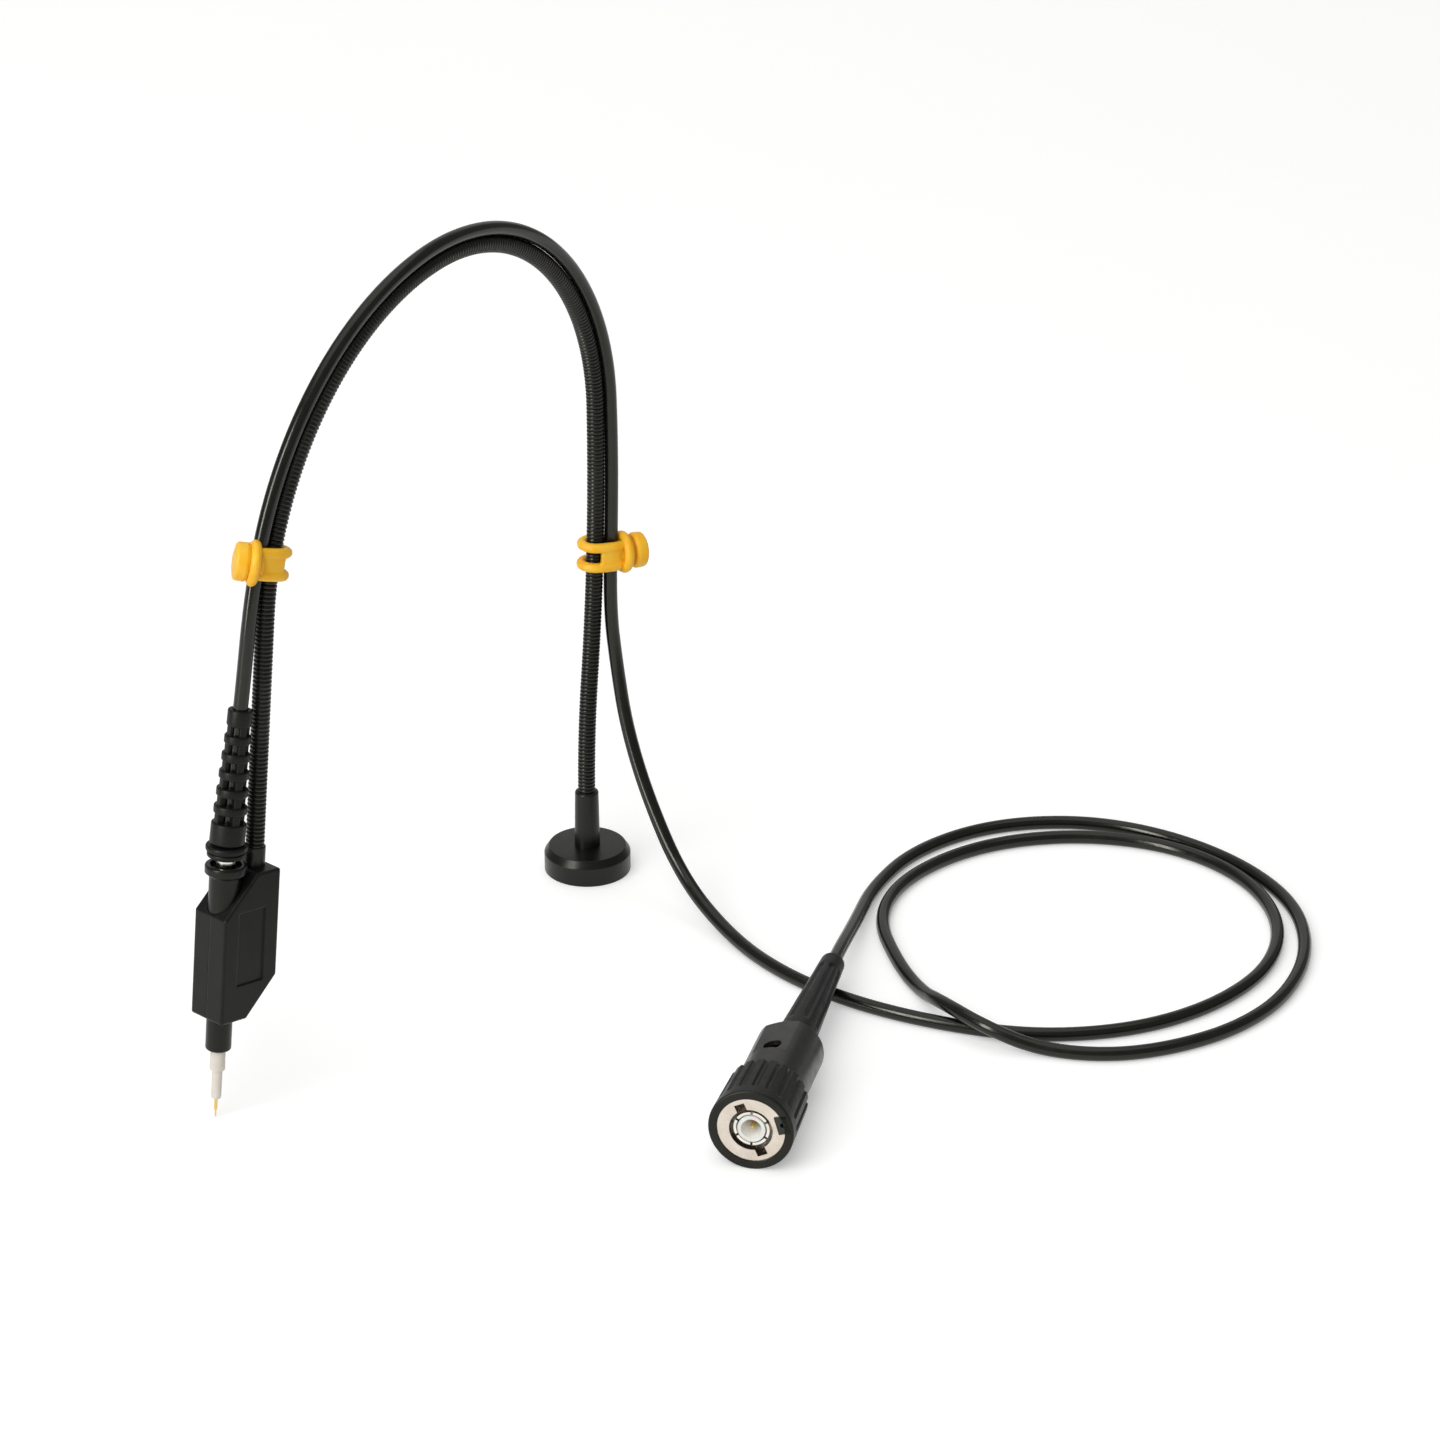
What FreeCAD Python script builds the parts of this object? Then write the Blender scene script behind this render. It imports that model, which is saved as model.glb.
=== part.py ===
import FreeCAD, Part
import math
import os
import re

import Sketcher
from FreeCAD import Placement, Rotation, Vector

# Hands-free probe for circuit boards: a magnetic foot, a bendable arm and a spring needle,
# with a coaxial lead clipped along the arm that ends in a bayonet plug on the table.
# Millimetres. Origin: centre of the foot's bottom face. +X: from the needle to the foot. +Z: up.

doc = FreeCAD.newDocument("hands_free_probe")

# Driving dimensions

SIZES = {
    # foot: a turned disc over a magnet, with a tapered stem
    "disc_dia": 21.0,
    "disc_top_dia": 18.7,
    "disc_wall_rise": 4.7,
    "disc_rise": 6.4,
    "magnet_dia": 17.0,
    "magnet_thick": 3.2,
    "stem_foot_dia": 6.2,
    "stem_top_dia": 5.7,
    "stem_rise": 14.6,
    "stem_spigot_dia": 4.4,
    "stem_spigot_depth": 2.4,
    "stem_edge": 0.4,
    "arm_sink_in_stem": 10.0,
    # arm: a hollow wound tube, bent by hand into an arch
    "arm_dia": 4.0,
    "arm_bore": 1.8,
    "foot_bend_length": 29.2,
    "foot_bend_turn": -7.0,
    "leg_bend_length": 69.4,
    "leg_bend_turn": 7.8,
    "crown_near_length": 92.2,
    "crown_near_turn": 93.1,
    "crown_far_length": 97.4,
    "crown_far_turn": 78.5,
    "near_tie_at": 61.3,
    "far_tie_at": 275.5,
    "arm_sink_in_head": 8.0,
    # fits
    "fit": 0.05,
    "running_fit": 0.03,
    "soft_gap": 0.2,
    # lead and the two ties that hold it to the arm
    "lead_dia": 3.3,
    "near_tie_turn": -42.0,
    "far_tie_turn": 11.0,
    "far_tie_twist": 18.0,
    "band_thick": 2.1,
    "band_height": 7.6,
    "band_slot": 2.6,
    "band_round": 0.9,
    "neck_dia": 5.4,
    "ring_dia": 10.2,
    "ring_section": 2.3,
    "knob_dia": 8.6,
    "knob_thick": 3.2,
    "knob_round": 1.2,
    # probe head, measured up its own axis from the needle's tip
    "head_yaw": -10.6,
    "head_foot_at": 24.7,
    "head_rise": 34.0,
    "head_left": 4.0,
    "head_foot_right": 3.4,
    "head_right": 11.7,
    "head_corner_rise": 8.7,
    "head_shoulder_drop": 9.2,
    "head_shoulder_right": 5.1,
    "head_thick": 10.3,
    "head_wall": 1.3,
    "head_round": 0.6,
    "panel_width": 7.6,
    "panel_rise": 17.2,
    "panel_depth": 0.35,
    "panel_lift": 8.5,
    "arm_from_needle": 8.3,
    "arm_collar_dia": 4.8,
    "arm_collar_rise": 4.5,
    # nose, insulator and spring needle
    "nose_dia": 5.8,
    "nose_reach": 8.1,
    "nose_seat": 3.8,
    "nose_round": 0.6,
    "sleeve_dia": 3.4,
    "sleeve_tip_dia": 2.4,
    "sleeve_reach": 4.95,
    "sleeve_tip_reach": 7.0,
    "barrel_dia": 0.8,
    "barrel_bore": 0.54,
    "barrel_mouth": 0.48,
    "barrel_reach": 2.75,
    "barrel_length": 32.0,
    "barrel_cap": 0.6,
    "plunger_dia": 0.42,
    "plunger_cone": 0.7,
    "piston_at": 4.2,
    "piston_length": 7.0,
    "spring_wire": 0.08,
    "spring_coil": 0.42,
    "spring_pitch": 1.6,
    # coaxial joint on the head
    "jack_dia": 7.2,
    "jack_sink": 0.9,
    "jack_flange_dia": 9.3,
    "jack_flange_at": 58.5,
    "jack_flange_thick": 2.2,
    "jack_recess_dia": 7.0,
    "jack_recess_depth": 1.1,
    "shell_dia": 4.6,
    "shell_wall": 0.6,
    "shell_length": 16.0,
    "contact_dia": 0.9,
    "contact_length": 15.0,
    "collar_dia": 9.3,
    "collar_thick": 2.9,
    "collar_foot_dia": 7.4,
    "collar_groove": 0.5,
    "collar_lift": 1.75,
    "plug_sleeve_sink": 5.5,
    "plug_sleeve_wall": 0.45,
    # slotted boot over the lead at the head
    "boot_lean": 4.4,
    "boot_gap": 0.32,
    "boot_base_dia": 7.8,
    "boot_base_rise": 4.8,
    "boot_row_rise": 4.0,
    "boot_window_rise": 2.1,
    "boot_top_dia": 5.5,
    "boot_top_rise": 3.7,
    "boot_neck_step": 0.5,
    "boot_bore": 3.9,
    "boot_rib": 1.2,
    "boot_turn": 32.0,
    # circuit board inside the head
    "board_thick": 1.0,
    "board_gap": 0.4,
    "chip_size": 3.2,
    "chip_thick": 1.0,
    # bayonet plug at the lead's end, measured back from its face
    "plug_at_x": -97.5,
    "plug_at_y": -110.2,
    "plug_heading": 19.4,
    "grip_dia": 19.3,
    "grip_rear_dia": 18.38,
    "grip_length": 16.5,
    "grip_round": 0.5,
    "grip_lip_thick": 2.0,
    "flute_dia": 2.2,
    "flute_depth": 0.45,
    "flute_from": 3.2,
    "bayonet_dia": 15.2,
    "bayonet_plate": 1.2,
    "bayonet_wall": 1.0,
    "bayonet_set_back": 0.3,
    "jack_bore": 9.8,
    "keyway_width": 2.4,
    "keyway_dia": 13.0,
    "keyway_angle": -25.0,
    "readout_angle": 73.0,
    "readout_width": 4.2,
    "readout_inner": 6.0,
    "readout_outer": 8.9,
    "readout_depth": 5.0,
    "readout_hole": 1.1,
    "sleeve_contact_dia": 8.1,
    "sleeve_contact_wall": 0.6,
    "sleeve_contact_set_back": 0.9,
    "sleeve_slot": 0.5,
    "sleeve_slot_length": 6.0,
    "core_dia": 6.3,
    "core_bore": 4.7,
    "core_bore_depth": 6.0,
    "core_set_back": 0.7,
    "pin_dia": 1.1,
    "pin_set_back": 1.6,
    "plug_body_dia": 12.4,
    "plug_body_from": 8.5,
    "plug_flange": 2.5,
    "washer_thick": 0.4,
    "washer_wave": 0.5,
    "box_dia": 15.6,
    "box_gap": 0.4,
    "box_length": 22.6,
    "box_edge": 1.2,
    "box_wall": 1.2,
    "box_bore": 11.0,
    "box_rear_wall": 2.4,
    "box_front_wall": 3.0,
    "box_flat_width": 8.0,
    "box_flat_from": 24.5,
    "box_turn": -15.0,
    "trimmer_at": 28.0,
    "trimmer_hole": 4.2,
    "trimmer_body_size": 4.4,
    "trimmer_body_rise": 2.4,
    "trimmer_screw_dia": 2.6,
    "trimmer_screw_rise": 1.2,
    "trimmer_slot": 0.5,
    "trim_board_length": 12.0,
    "screw_clear": 0.6,
    "tail_spigot_dia": 7.0,
    "tail_collar_dia": 9.8,
    "tail_collar_length": 3.0,
    "tail_groove_dia": 8.0,
    "tail_groove_length": 0.8,
    "tail_dia": 9.1,
    "tail_end_dia": 5.8,
    "tail_length": 39.2,
    "tail_lip_dia": 6.0,
    "tail_lip_length": 2.6,
    "tail_flute_dia": 1.8,
    "tail_flute_depth": 0.5,
    "tail_flute_from": 3.5,
    "tail_flute_short": 3.0,
    "lead_in_box": 1.5,
    "tail_seat": 12.0,
    # how far the lead runs straight on past its holders
    "run_above_boot": 9.0,
    "run_below_tie": 13.4,
    "run_behind_tail": 6.0,
}

FLUTES = 20
SLEEVE_SLOTS = 6
BOOT_ROWS = 6
TAIL_FLUTES = 8
ARCH_LEAD_RUNS = 11

sheet = doc.addObject("Spreadsheet::Sheet", "Sizes")
for row, (alias, value) in enumerate(SIZES.items(), 1):
    sheet.set(f"A{row}", alias)
    sheet.set(f"B{row}", str(value))
    sheet.setAlias(f"B{row}", alias)
doc.recompute()


# Helpers that tie geometry to the sheet


def bound(text):
    """The formula with each driving dimension named in the sheet."""

    def named(found):
        word = found.group()
        return "Sizes." + word if word in SIZES else word

    return re.sub(r"[a-z]\w*", named, text)


def size(text):
    """The number that a formula of driving dimensions gives."""
    return float(sheet.evalExpression(bound(text)))


def origin_plane(body, role):
    return [plane for plane in body.Origin.OriginFeatures if plane.Role == role][0]


def new_sketch(body, name, role, shift=None):
    """A sketch on one of the body's own planes, moved along its axes by named sizes."""
    sketch = body.newObject("Sketcher::SketchObject", name)
    sketch.AttachmentSupport = [(origin_plane(body, role), "")]
    sketch.MapMode = "FlatFace"
    for axis, text in (shift or {}).items():
        sketch.setExpression(f"AttachmentOffset.Base.{axis}", bound(text))
    return sketch


def draw_loop(sketch, points):
    """A closed outline whose corners are fixed by formulas."""
    places = [Vector(size(across), size(up), 0) for across, up in points]
    first = sketch.GeometryCount
    count = len(points)
    for index in range(count):
        sketch.addGeometry(Part.LineSegment(places[index], places[(index + 1) % count]), False)
    for index in range(count):
        following = first + (index + 1) % count
        sketch.addConstraint(Sketcher.Constraint("Coincident", first + index, 2, following, 1))
    for index, texts in enumerate(points):
        for kind, text in zip(("DistanceX", "DistanceY"), texts):
            new = sketch.addConstraint(Sketcher.Constraint(kind, -1, 1, first + index, 1, size(text)))
            sketch.setExpression(f"Constraints[{new}]", bound(text))


def draw_circle(sketch, across, up, diameter):
    """A circle whose centre and diameter are fixed by formulas."""
    centre = Vector(size(across), size(up), 0)
    item = sketch.addGeometry(Part.Circle(centre, Vector(0, 0, 1), size(diameter) / 2), False)
    for kind, text in (("DistanceX", across), ("DistanceY", up)):
        new = sketch.addConstraint(Sketcher.Constraint(kind, -1, 1, item, 3, size(text)))
        sketch.setExpression(f"Constraints[{new}]", bound(text))
    new = sketch.addConstraint(Sketcher.Constraint("Diameter", item, size(diameter)))
    sketch.setExpression(f"Constraints[{new}]", bound(diameter))


def rectangle(left, low, right, high):
    return [(left, low), (right, low), (right, high), (left, high)]


def new_body(name, placement):
    body = doc.addObject("PartDesign::Body", name)
    body.Label = name
    body.Placement = placement
    return body


def turned(name, profile, placement):
    """A body turned about its own Z axis from a half outline of radius and height."""
    body = new_body(name, placement)
    sketch = new_sketch(body, name + "_half", "XZ_Plane")
    draw_loop(sketch, profile)
    turn = body.newObject("PartDesign::Revolution", name + "_turned")
    turn.Profile = sketch
    turn.ReferenceAxis = (sketch, ["V_Axis"])
    turn.Angle = 360
    doc.recompute()
    return body


def padded(name, outline, length, placement, reverse=False, middle=False, role="XZ_Plane"):
    """A body of one thickness, from an outline on one of its planes."""
    body = new_body(name, placement)
    sketch = new_sketch(body, name + "_outline", role)
    draw_loop(sketch, outline)
    pad = body.newObject("PartDesign::Pad", name + "_pad")
    pad.Profile = sketch
    pad.setExpression("Length", bound(length))
    pad.Reversed = reverse
    pad.Midplane = middle
    doc.recompute()
    return body


def pocketed(body, name, sketch, length, reverse=False, middle=False):
    """Cut the sketch's outline into the body, and make sure that it cut."""
    before = body.Shape.Volume
    pocket = body.newObject("PartDesign::Pocket", name)
    pocket.Profile = sketch
    pocket.setExpression("Length", bound(length))
    pocket.Reversed = reverse
    pocket.Midplane = middle
    doc.recompute()
    if body.Shape.Volume >= before:
        raise ValueError(f"{name} cuts nothing")
    return pocket


def grooved(body, name, sketch):
    """Turn the sketch about its own vertical axis and take it out of the body."""
    before = body.Shape.Volume
    groove = body.newObject("PartDesign::Groove", name)
    groove.Profile = sketch
    groove.ReferenceAxis = (sketch, ["V_Axis"])
    groove.Angle = 360
    doc.recompute()
    if body.Shape.Volume >= before:
        raise ValueError(f"{name} cuts nothing")


def ringed(body, name, feature, copies):
    """Repeat one feature about the body's Z axis."""
    pattern = body.newObject("PartDesign::PolarPattern", name)
    pattern.Originals = [feature]
    pattern.Axis = (origin_plane(body, "Z_Axis"), [""])
    pattern.Angle = 360
    pattern.Occurrences = copies
    body.Tip = pattern
    doc.recompute()


def rounded(body, name, radius, chosen):
    """Round the edges of the body's last feature that the test picks."""
    base = body.Tip
    edges = [f"Edge{index}" for index, edge in enumerate(base.Shape.Edges, 1) if chosen(edge)]
    fillet = body.newObject("PartDesign::Fillet", name)
    fillet.Base = (base, edges)
    fillet.setExpression("Radius", bound(radius))
    doc.recompute()


def shaped(name, shape, placement=None):
    """A sub-part whose shape comes from sweeps or cuts that sketches don't fit."""
    item = doc.addObject("Part::Feature", name)
    item.Label = name
    item.Shape = shape
    if placement is not None:
        item.Placement = placement
    return item


# The arm's centre line: bends that follow each other, in the XZ plane

STEM_TOP = size("disc_rise + stem_rise")
BENDS = [
    (size(f"{bend}_length"), math.radians(size(f"{bend}_turn")))
    for bend in ("foot_bend", "leg_bend", "crown_near", "crown_far")
]
HEAD_LEAN = math.pi - sum(turn for _, turn in BENDS)
HEAD_TOP = size("head_foot_at + head_rise")


def along_arm(distance):
    """Place, direction and outward side of the arm's line, counted from the stem's top."""
    across, height, heading = 0.0, STEM_TOP, math.pi / 2
    left = distance
    for length, turn in BENDS:
        step = min(left, length)
        if step <= 0:
            break
        curve = turn / length
        after = heading + curve * step
        across += (math.sin(after) - math.sin(heading)) / curve
        height += (math.cos(heading) - math.cos(after)) / curve
        heading = after
        left -= step
    # what is left over, before the first bend or past the last one, is straight
    across += math.cos(heading) * left
    height += math.sin(heading) * left
    direction = Vector(math.cos(heading), 0, math.sin(heading))
    outward = Vector(math.sin(heading), 0, -math.cos(heading))
    return Vector(across, 0, height), direction, outward


BENT_LENGTH = sum(length for length, _ in BENDS)
HEAD_TURN = Rotation(Vector(0, 1, 0), math.degrees(HEAD_LEAN)) * Rotation(Vector(0, 0, 1), size("head_yaw"))
HEAD_AXIS = HEAD_TURN.multVec(Vector(0, 0, 1))
SOCKET = HEAD_TURN.multVec(Vector(size("arm_from_needle"), 0, HEAD_TOP))
# the last stretch is as long as the needle needs to reach the table
LAST_LENGTH = (along_arm(BENT_LENGTH)[0].z - SOCKET.z) / math.cos(HEAD_LEAN)
ARM_LENGTH = BENT_LENGTH + LAST_LENGTH


def arm_wire(start, end):
    """The arm's line from one distance to another, as lines and arcs."""
    marks = [0.0]
    for length, _ in BENDS:
        marks.append(marks[-1] + length)
    stops = [start] + [mark for mark in marks if start < mark < end] + [end]
    edges = []
    for low, high in zip(stops, stops[1:]):
        first, last = along_arm(low)[0], along_arm(high)[0]
        if high <= 0 or low >= BENT_LENGTH:
            edges.append(Part.LineSegment(first, last).toShape())
        else:
            edges.append(Part.Arc(first, along_arm((low + high) / 2)[0], last).toShape())
    return Part.Wire(edges)


def swept(wire, start, direction, diameter):
    """A round bar along a wire."""
    ring = Part.Wire([Part.Circle(start, direction, diameter / 2).toShape()])
    return wire.makePipeShell([ring], True, False)


def arm_stretch(name, start, end):
    wire = arm_wire(start, end)
    place, direction, _ = along_arm(start)
    outer = swept(wire, place, direction, size("arm_dia"))
    inner = swept(wire, place, direction, size("arm_bore"))
    return shaped(name, outer.cut(inner))


# Foot

upright = Placement()

disc = turned(
    "foot_disc",
    [
        ("magnet_dia / 2 + fit", "0"),
        ("disc_dia / 2", "0"),
        ("disc_dia / 2", "disc_wall_rise"),
        ("disc_top_dia / 2", "disc_rise"),
        ("stem_spigot_dia / 2 + fit", "disc_rise"),
        ("stem_spigot_dia / 2 + fit", "magnet_thick"),
        ("magnet_dia / 2 + fit", "magnet_thick"),
    ],
    upright,
)
magnet = turned("foot_magnet", rectangle("0", "0", "magnet_dia / 2", "magnet_thick"), upright)
stem = turned(
    "arm_stem",
    [
        ("0", "disc_rise - stem_spigot_depth"),
        ("stem_spigot_dia / 2", "disc_rise - stem_spigot_depth"),
        ("stem_spigot_dia / 2", "disc_rise"),
        ("stem_foot_dia / 2", "disc_rise"),
        ("stem_top_dia / 2", "disc_rise + stem_rise - stem_edge"),
        ("stem_top_dia / 2 - stem_edge", "disc_rise + stem_rise"),
        ("arm_dia / 2 + fit", "disc_rise + stem_rise"),
        ("arm_dia / 2 + fit", "disc_rise + stem_rise - arm_sink_in_stem"),
        ("0", "disc_rise + stem_rise - arm_sink_in_stem"),
    ],
    upright,
)

# Arm, in the three stretches that bend between the foot, the two ties and the head

NEAR_TIE = size("near_tie_at")
FAR_TIE = size("far_tie_at")
arm_stretch("arm_lower", -size("arm_sink_in_stem"), NEAR_TIE)
arm_stretch("arm_crown", NEAR_TIE, FAR_TIE)
arm_stretch("arm_upper", FAR_TIE, ARM_LENGTH + size("arm_sink_in_head"))

# Probe head: two half shells that close on the needle, the jack and the arm's end

head_origin = along_arm(ARM_LENGTH)[0] - SOCKET
at_head = Placement(head_origin, HEAD_TURN)
at_socket = Placement(head_origin + HEAD_TURN.multVec(Vector(size("arm_from_needle"), 0, 0)), HEAD_TURN)

head_outline = [
    ("-head_left", "head_foot_at"),
    ("head_foot_right", "head_foot_at"),
    ("head_right", "head_foot_at + head_corner_rise"),
    ("head_right", "head_foot_at + head_rise"),
    ("head_shoulder_right", "head_foot_at + head_rise"),
    ("-head_left", "head_foot_at + head_rise - head_shoulder_drop"),
]
cavity_top = "head_foot_at + head_rise - head_shoulder_drop - 1.6 * head_wall"
cavity = [
    ("-head_left + head_wall", "head_foot_at + nose_seat + head_wall"),
    ("head_foot_right + head_wall", "head_foot_at + nose_seat + head_wall"),
    ("head_right - 1.2 * head_wall", "head_foot_at + head_corner_rise + head_wall / 2"),
    ("head_right - 1.2 * head_wall", cavity_top),
    ("-head_left + head_wall", cavity_top),
]
jack_foot = cavity_top + " + jack_sink"
# passages on the needle's axis: nose seat, barrel, cavity, contact shell and jack seat
needle_passage = [
    ("0", "head_foot_at - head_wall"),
    ("nose_dia / 2 + fit", "head_foot_at - head_wall"),
    ("nose_dia / 2 + fit", "head_foot_at + nose_seat"),
    ("barrel_dia / 2 + fit", "head_foot_at + nose_seat"),
    ("barrel_dia / 2 + fit", "head_foot_at + nose_seat + 2 * head_wall"),
    ("0", "head_foot_at + nose_seat + 2 * head_wall"),
]
jack_passage = [
    ("0", cavity_top + " - head_wall"),
    ("shell_dia / 2 + fit", cavity_top + " - head_wall"),
    ("shell_dia / 2 + fit", jack_foot),
    ("jack_dia / 2 + fit", jack_foot),
    ("jack_dia / 2 + fit", "head_foot_at + head_rise + head_wall"),
    ("0", "head_foot_at + head_rise + head_wall"),
]
arm_passage = rectangle(
    "0",
    "head_foot_at + head_rise - arm_sink_in_head",
    "arm_dia / 2 + fit",
    "head_foot_at + head_rise + head_wall",
)


def on_split(edge):
    """True for an edge that lies in the plane where the two shells meet."""
    return all(abs(vertex.Point.y) < 1e-6 for vertex in edge.Vertexes)


def head_shell(name, back):
    shell = padded(name, head_outline, "head_thick / 2", at_head, reverse=back)
    rounded(shell, name + "_edges", "head_round", lambda edge: not on_split(edge))
    hollow = new_sketch(shell, name + "_cavity", "XZ_Plane")
    draw_loop(hollow, cavity)
    pocketed(shell, name + "_hollow", hollow, "head_thick / 2 - head_wall", reverse=not back)
    for label, profile in (("needle", needle_passage), ("jack", jack_passage)):
        passage = new_sketch(shell, f"{name}_{label}_half", "XZ_Plane")
        draw_loop(passage, profile)
        grooved(shell, f"{name}_{label}_passage", passage)
    passage = new_sketch(shell, name + "_arm_half", "XZ_Plane", {"x": "arm_from_needle"})
    draw_loop(passage, arm_passage)
    grooved(shell, name + "_arm_passage", passage)
    return shell


front_shell = head_shell("head_front_shell", back=False)
panel = new_sketch(front_shell, "panel_outline", "XZ_Plane", {"z": "head_thick / 2"})
panel_middle = "(head_right - head_left) / 2"
draw_loop(
    panel,
    rectangle(
        panel_middle + " - panel_width / 2",
        "head_foot_at + panel_lift",
        panel_middle + " + panel_width / 2",
        "head_foot_at + panel_lift + panel_rise",
    ),
)
pocketed(front_shell, "label_panel", panel, "panel_depth")
head_shell("head_back_shell", back=True)

turned(
    "arm_collar",
    [
        ("arm_dia / 2 + fit", "head_foot_at + head_rise"),
        ("arm_collar_dia / 2", "head_foot_at + head_rise"),
        ("arm_collar_dia / 2", "head_foot_at + head_rise + arm_collar_rise - fit * 4"),
        ("arm_collar_dia / 2 - fit * 4", "head_foot_at + head_rise + arm_collar_rise"),
        ("arm_dia / 2 + fit", "head_foot_at + head_rise + arm_collar_rise"),
    ],
    at_socket,
)

# Nose, insulating sleeve and spring needle

turned(
    "nose_tube",
    [
        ("sleeve_dia / 2 + fit", "head_foot_at - nose_reach"),
        ("nose_dia / 2 - nose_round", "head_foot_at - nose_reach"),
        ("nose_dia / 2", "head_foot_at - nose_reach + nose_round"),
        ("nose_dia / 2", "head_foot_at + nose_seat"),
        ("barrel_dia / 2 + fit", "head_foot_at + nose_seat"),
        ("barrel_dia / 2 + fit", "head_foot_at + fit"),
        ("sleeve_dia / 2 + fit", "head_foot_at + fit"),
    ],
    at_head,
)
sleeve_foot = "head_foot_at - nose_reach - sleeve_reach"
turned(
    "needle_sleeve",
    [
        ("barrel_dia / 2 + fit", sleeve_foot + " - sleeve_tip_reach"),
        ("sleeve_tip_dia / 2 - 0.45", sleeve_foot + " - sleeve_tip_reach"),
        ("sleeve_tip_dia / 2 - 0.15", sleeve_foot + " - sleeve_tip_reach + 0.3"),
        ("sleeve_tip_dia / 2 - 0.05", sleeve_foot + " - sleeve_tip_reach + 0.8"),
        ("sleeve_tip_dia / 2 + 0.05", sleeve_foot + " - 0.2"),
        ("sleeve_dia / 2 - 0.2", sleeve_foot),
        ("sleeve_dia / 2", sleeve_foot + " + 0.3"),
        ("sleeve_dia / 2", "head_foot_at"),
        ("barrel_dia / 2 + fit", "head_foot_at"),
    ],
    at_head,
)
barrel_foot = sleeve_foot + " - sleeve_tip_reach - barrel_reach"
barrel_top = barrel_foot + " + barrel_length"
turned(
    "needle_barrel",
    [
        ("barrel_mouth / 2", barrel_foot),
        ("barrel_dia / 2 - 0.08", barrel_foot),
        ("barrel_dia / 2", barrel_foot + " + 0.2"),
        ("barrel_dia / 2", barrel_top),
        ("0", barrel_top),
        ("0", barrel_top + " - barrel_cap"),
        ("barrel_bore / 2", barrel_top + " - barrel_cap"),
        ("barrel_bore / 2", "piston_at - 0.2"),
        ("barrel_mouth / 2", "piston_at - 0.4"),
    ],
    at_head,
)
turned(
    "needle_plunger",
    [
        ("0", "0"),
        ("0.04", "0"),
        ("plunger_dia / 2", "plunger_cone"),
        ("plunger_dia / 2", "piston_at"),
        ("barrel_bore / 2 - running_fit", "piston_at"),
        ("barrel_bore / 2 - running_fit", "piston_at + piston_length"),
        ("0", "piston_at + piston_length"),
    ],
    at_head,
)
# the spring is wound from square wire, between the piston and the barrel's closed end
spring_foot = size("piston_at + piston_length + spring_wire")
spring_rise = size(barrel_top + " - barrel_cap - spring_wire") - spring_foot
inner = size("spring_coil / 2 - spring_wire")
outer = size("spring_coil / 2")
half_wire = size("spring_wire / 2")
square = [(inner, -half_wire), (outer, -half_wire), (outer, half_wire), (inner, half_wire)]
wire_face = Part.makePolygon([Vector(across, 0, up) for across, up in square + square[:1]])
helix = Part.makeHelix(size("spring_pitch"), spring_rise, (inner + outer) / 2)
spring = Part.Wire(helix).makePipeShell([wire_face], True, True)
shaped("needle_spring", spring, at_head * Placement(Vector(0, 0, spring_foot), Rotation()))

# Circuit board in the head's cavity

board_low = "head_foot_at + nose_seat + head_wall + board_gap"
board_high = cavity_top + " - board_gap"
board_corner = "head_foot_at + head_corner_rise + head_wall / 2 + board_gap"
padded(
    "probe_board",
    [
        ("-head_left + head_wall + board_gap", board_low),
        ("-barrel_dia / 2 - fit", board_low),
        ("-barrel_dia / 2 - fit", barrel_top + " + fit"),
        ("barrel_dia / 2 + fit", barrel_top + " + fit"),
        ("barrel_dia / 2 + fit", board_low),
        ("head_foot_right + head_wall - board_gap", board_low),
        ("head_right - 1.2 * head_wall - board_gap", board_corner),
        ("head_right - 1.2 * head_wall - board_gap", board_high),
        ("shell_dia / 2 + 2 * fit", board_high),
        ("shell_dia / 2 + 2 * fit", cavity_top + " - 2 * head_wall - fit"),
        ("-shell_dia / 2 - 2 * fit", cavity_top + " - 2 * head_wall - fit"),
        ("-shell_dia / 2 - 2 * fit", board_high),
        ("-head_left + head_wall + board_gap", board_high),
    ],
    "board_thick",
    at_head,
    middle=True,
)


def block(name, sizes, place):
    """A box whose edges and corner are set by formulas."""
    box = doc.addObject("Part::Box", name)
    for axis, text in zip(("Length", "Width", "Height"), sizes):
        box.setExpression(axis, bound(text))
    for axis, text in zip("xyz", place):
        box.setExpression(f"Placement.Base.{axis}", bound(text))
    return box


def chip(name, across, rise, width, height):
    """One component that stands on the board's front face."""
    corner = (across, "-board_thick / 2 - chip_thick", board_low + " + " + rise)
    return block(name, (width, "chip_thick", height), corner)


board_parts = doc.addObject("Part::Compound", "board_parts")
board_parts.Label = "board_parts"
board_parts.Links = [
    chip("amplifier", "2.6", "7", "chip_size", "chip_size"),
    chip("input_resistor", "-2", "7.4", "1.2", "2"),
    chip("shunt_capacitor", "3.4", "2.2", "1.6", "0.8"),
    chip("supply_capacitor", "7", "6.6", "0.8", "1.6"),
]
board_parts.Placement = at_head

# Coaxial joint: the jack on the head's shoulder and the lead's plug above it

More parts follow.
